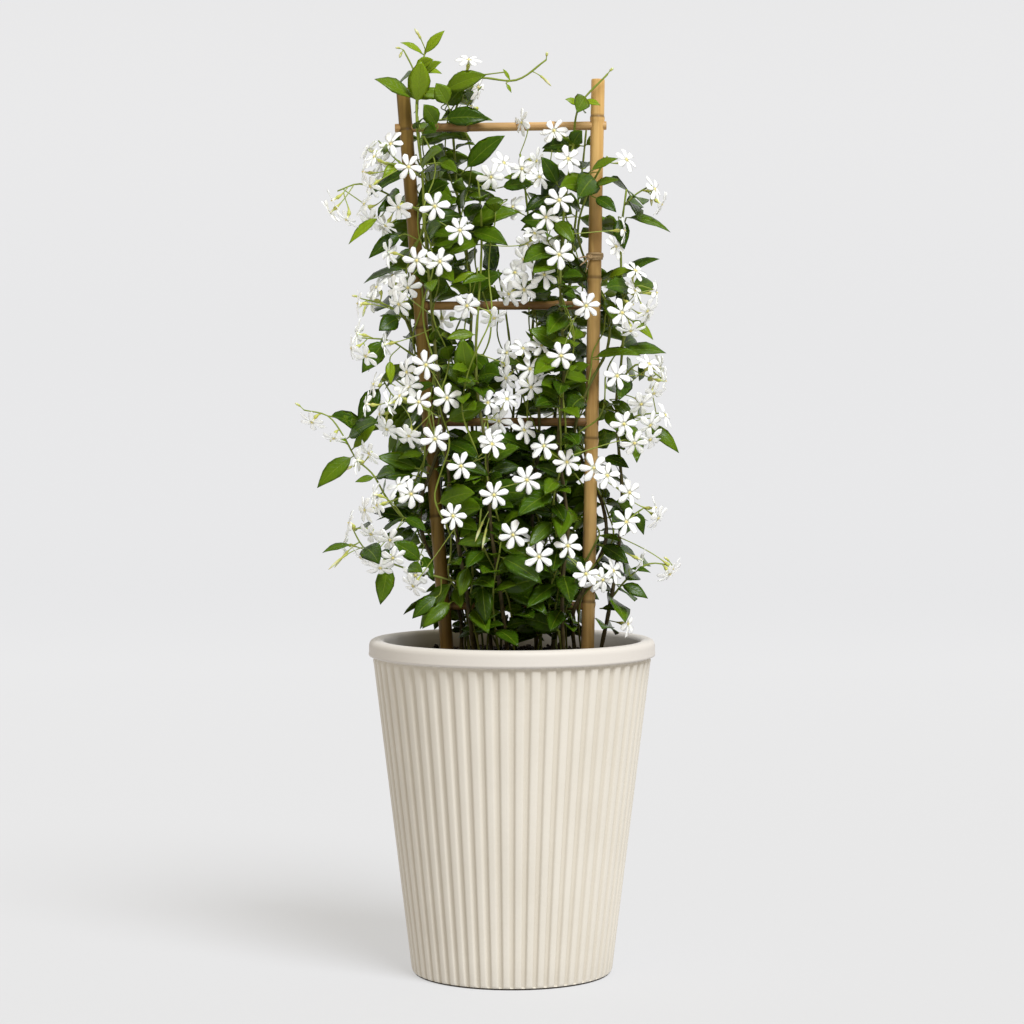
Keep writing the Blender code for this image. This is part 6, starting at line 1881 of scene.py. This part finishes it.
class JASMINE_OT_leaves(Operator):
    """Builds each vine's leaves."""

    bl_idname = "jasmine.leaves"
    bl_label = "Leaves"

    def execute(self, context):
        finish = leaf_finish(context.scene.jasmine_foliage)
        for number, (name, leaves) in enumerate(plant()[1].items()):
            curves = smooth_stems()[name]
            leaves = [leaf if leaf.root is not None else leaf._replace(foot=nearest_point(leaf.foot, curves))
                      for leaf in leaves]
            skin = Skin()
            leaf_skin(skin, leaves, np.random.default_rng(FINE_SEED + number))
            skin.piece("leaves_" + name[5:], [finish], "jasmine_leaf", name)
        return {"FINISHED"}


class JASMINE_OT_flowers(Operator):
    """Builds the sprays of flowers."""

    bl_idname = "jasmine.flowers"
    bl_label = "Flowers"

    def execute(self, context):
        looks = context.scene.jasmine_flowers
        finishes = [petal_finish(looks), throat_finish(looks), calyx_finish(looks), bud_finish(looks)]
        every_stem = [line for curves in smooth_stems().values() for line in curves]
        sprays = plant()[3]
        named = [name for name in sprays if name.startswith("spray")]
        more = [name for name in sprays if name.startswith("more")]
        for k in range(FLOWER_PIECES):
            skin = Skin()
            nodes = named[k::FLOWER_PIECES]
            some = [sprays[name] for name in nodes + more[k::FLOWER_PIECES]]
            petal_skin(skin, [flower for flowers in some for flower in flowers], np.random.default_rng(FINE_SEED + k))
            for flowers in some:
                lines = []
                for flower in flowers:
                    line = flower.stalk
                    start = nearest_point(line[0], lines[:1] or every_stem)
                    lines.append(stalk(start, line[-1], unit(line[1] - line[0]), flower.axis, 0.35, 16)[::-1])
                    flower_tube_skin(skin, flower, lines[-1], 2)
                    throat_skin(skin, flower, 1)
            skin.piece(f"flowers_{k + 1:02d}", finishes, "jasmine_petal", *nodes)
        return {"FINISHED"}


def backdrop_skin(skin):
    """Adds a floor that curves up into a backdrop: a straight run, a quarter circle, and a straight rise."""
    bend = np.linspace(0, pi / 2, 25)
    back, radius = BACKDROP_AT, BACKDROP_BEND
    run = np.r_[-9.0, -4.0, 0.0, 1.5, back + radius * np.sin(bend), back + radius]
    rise = np.r_[0, 0, 0, 0, radius * (1 - np.cos(bend)), 9.0]
    across = np.linspace(-12, 12, 9)
    points = np.stack(np.broadcast_arrays(across[:, None], run, rise), -1)
    faces, row, column = grid(len(across), len(run))
    up = np.r_[0, 0, 0, 0, bend / bend[-1], 1]
    skin.add(points, faces[:, ::-1], np.stack((row / 8, up[column]), -1)[:, ::-1])


def studio_world(looks):
    """Light from all round in one colour, while the camera sees another."""
    world = bpy.data.worlds.new("studio")
    world.use_nodes = True
    nodes, links = world.node_tree.nodes, world.node_tree.links
    light, beyond = nodes["Background"], nodes.new("ShaderNodeBackground")
    light.inputs["Color"].default_value = (*looks.sky, 1)
    light.inputs["Strength"].default_value = looks.fill
    beyond.inputs["Color"].default_value = (*looks.beyond, 1)
    path, either = nodes.new("ShaderNodeLightPath"), nodes.new("ShaderNodeMixShader")
    for k, socket in enumerate((path.outputs["Is Camera Ray"], light.outputs[0], beyond.outputs[0])):
        links.new(socket, either.inputs[k])
    links.new(either.outputs[0], nodes["World Output"].inputs["Surface"])
    return world


class JASMINE_OT_stage(Operator):
    """Sets the floor, the light and the camera."""

    bl_idname = "jasmine.stage"
    bl_label = "Stage"

    def execute(self, context):
        looks = context.scene.jasmine_stage
        light = {"Emission Color": (1, 1, 1), "Emission Strength": looks.glow}
        paper = Finish("studio_paper", 0.9, 0.0, **light)
        _, up = paper.uv()
        low = paper.mix(paper.step(up, 0.0, 0.22), looks.floor, looks.bend)
        paper = paper.finish(paper.mix(paper.step(up, 0.46, 0.80), low, looks.wall))
        skin = Skin()
        backdrop_skin(skin)
        linked("backdrop", skin.mesh("backdrop", [paper]))
        lamp = bpy.data.lights.new("key", "SUN")
        lamp.energy, lamp.color, lamp.angle = looks.key, looks.sun, radians(KEY_SIZE)
        linked("key", lamp).rotation_euler = Vector(facing(*KEY_FROM)).to_track_quat("Z", "Y").to_euler()
        lens = bpy.data.cameras.new("camera")
        lens.lens = CAMERA_LENS
        camera = linked("camera", lens)
        camera.location = (0, -VIEW_DISTANCE, EYE_HEIGHT)
        aim = Vector((0, 0, CAMERA_AIM)) - camera.location
        camera.rotation_euler = aim.to_track_quat("-Z", "Y").to_euler()
        context.scene.world = studio_world(looks)
        context.scene.camera = camera
        context.scene.view_settings.view_transform = "Standard"
        return {"FINISHED"}


OPERATORS = (JASMINE_OT_pot, JASMINE_OT_soil, JASMINE_OT_trellis, JASMINE_OT_tie, JASMINE_OT_stems, JASMINE_OT_leaves,
             JASMINE_OT_flowers, JASMINE_OT_stage)
LOOKS = {"jasmine_pot": PotLooks, "jasmine_soil": SoilLooks, "jasmine_trellis": TrellisLooks,
         "jasmine_foliage": FoliageLooks, "jasmine_flowers": FlowerLooks, "jasmine_stage": StageLooks}


class JASMINE_PT_panel(Panel):
    """Lists the looks and the operators that build the plant."""

    bl_idname = "JASMINE_PT_panel"
    bl_label = "Potted star jasmine"
    bl_space_type = "VIEW_3D"
    bl_region_type = "UI"
    bl_category = "Jasmine"

    def draw(self, context):
        for key, group in LOOKS.items():
            box = self.layout.box()
            for name in group.__annotations__:
                box.prop(getattr(context.scene, key), name)
        for operator in OPERATORS:
            self.layout.operator(operator.bl_idname)


CLASSES = (*LOOKS.values(), *OPERATORS, JASMINE_PT_panel)


def register():
    """Registers the classes and hangs their looks on the scene."""
    for made in CLASSES:
        bpy.utils.register_class(made)
    for key, group in LOOKS.items():
        setattr(bpy.types.Scene, key, bpy.props.PointerProperty(type=group))


def unregister():
    """Takes back what register did."""
    for key in LOOKS:
        delattr(bpy.types.Scene, key)
    for made in reversed(CLASSES):
        bpy.utils.unregister_class(made)


def main():
    """Builds every piece and the stage."""
    register()
    bpy.ops.jasmine.pot()
    bpy.ops.jasmine.soil()
    bpy.ops.jasmine.trellis()
    bpy.ops.jasmine.tie()
    bpy.ops.jasmine.stems()
    bpy.ops.jasmine.leaves()
    bpy.ops.jasmine.flowers()
    bpy.ops.jasmine.stage()
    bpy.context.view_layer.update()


if __name__ == "__main__":
    main()
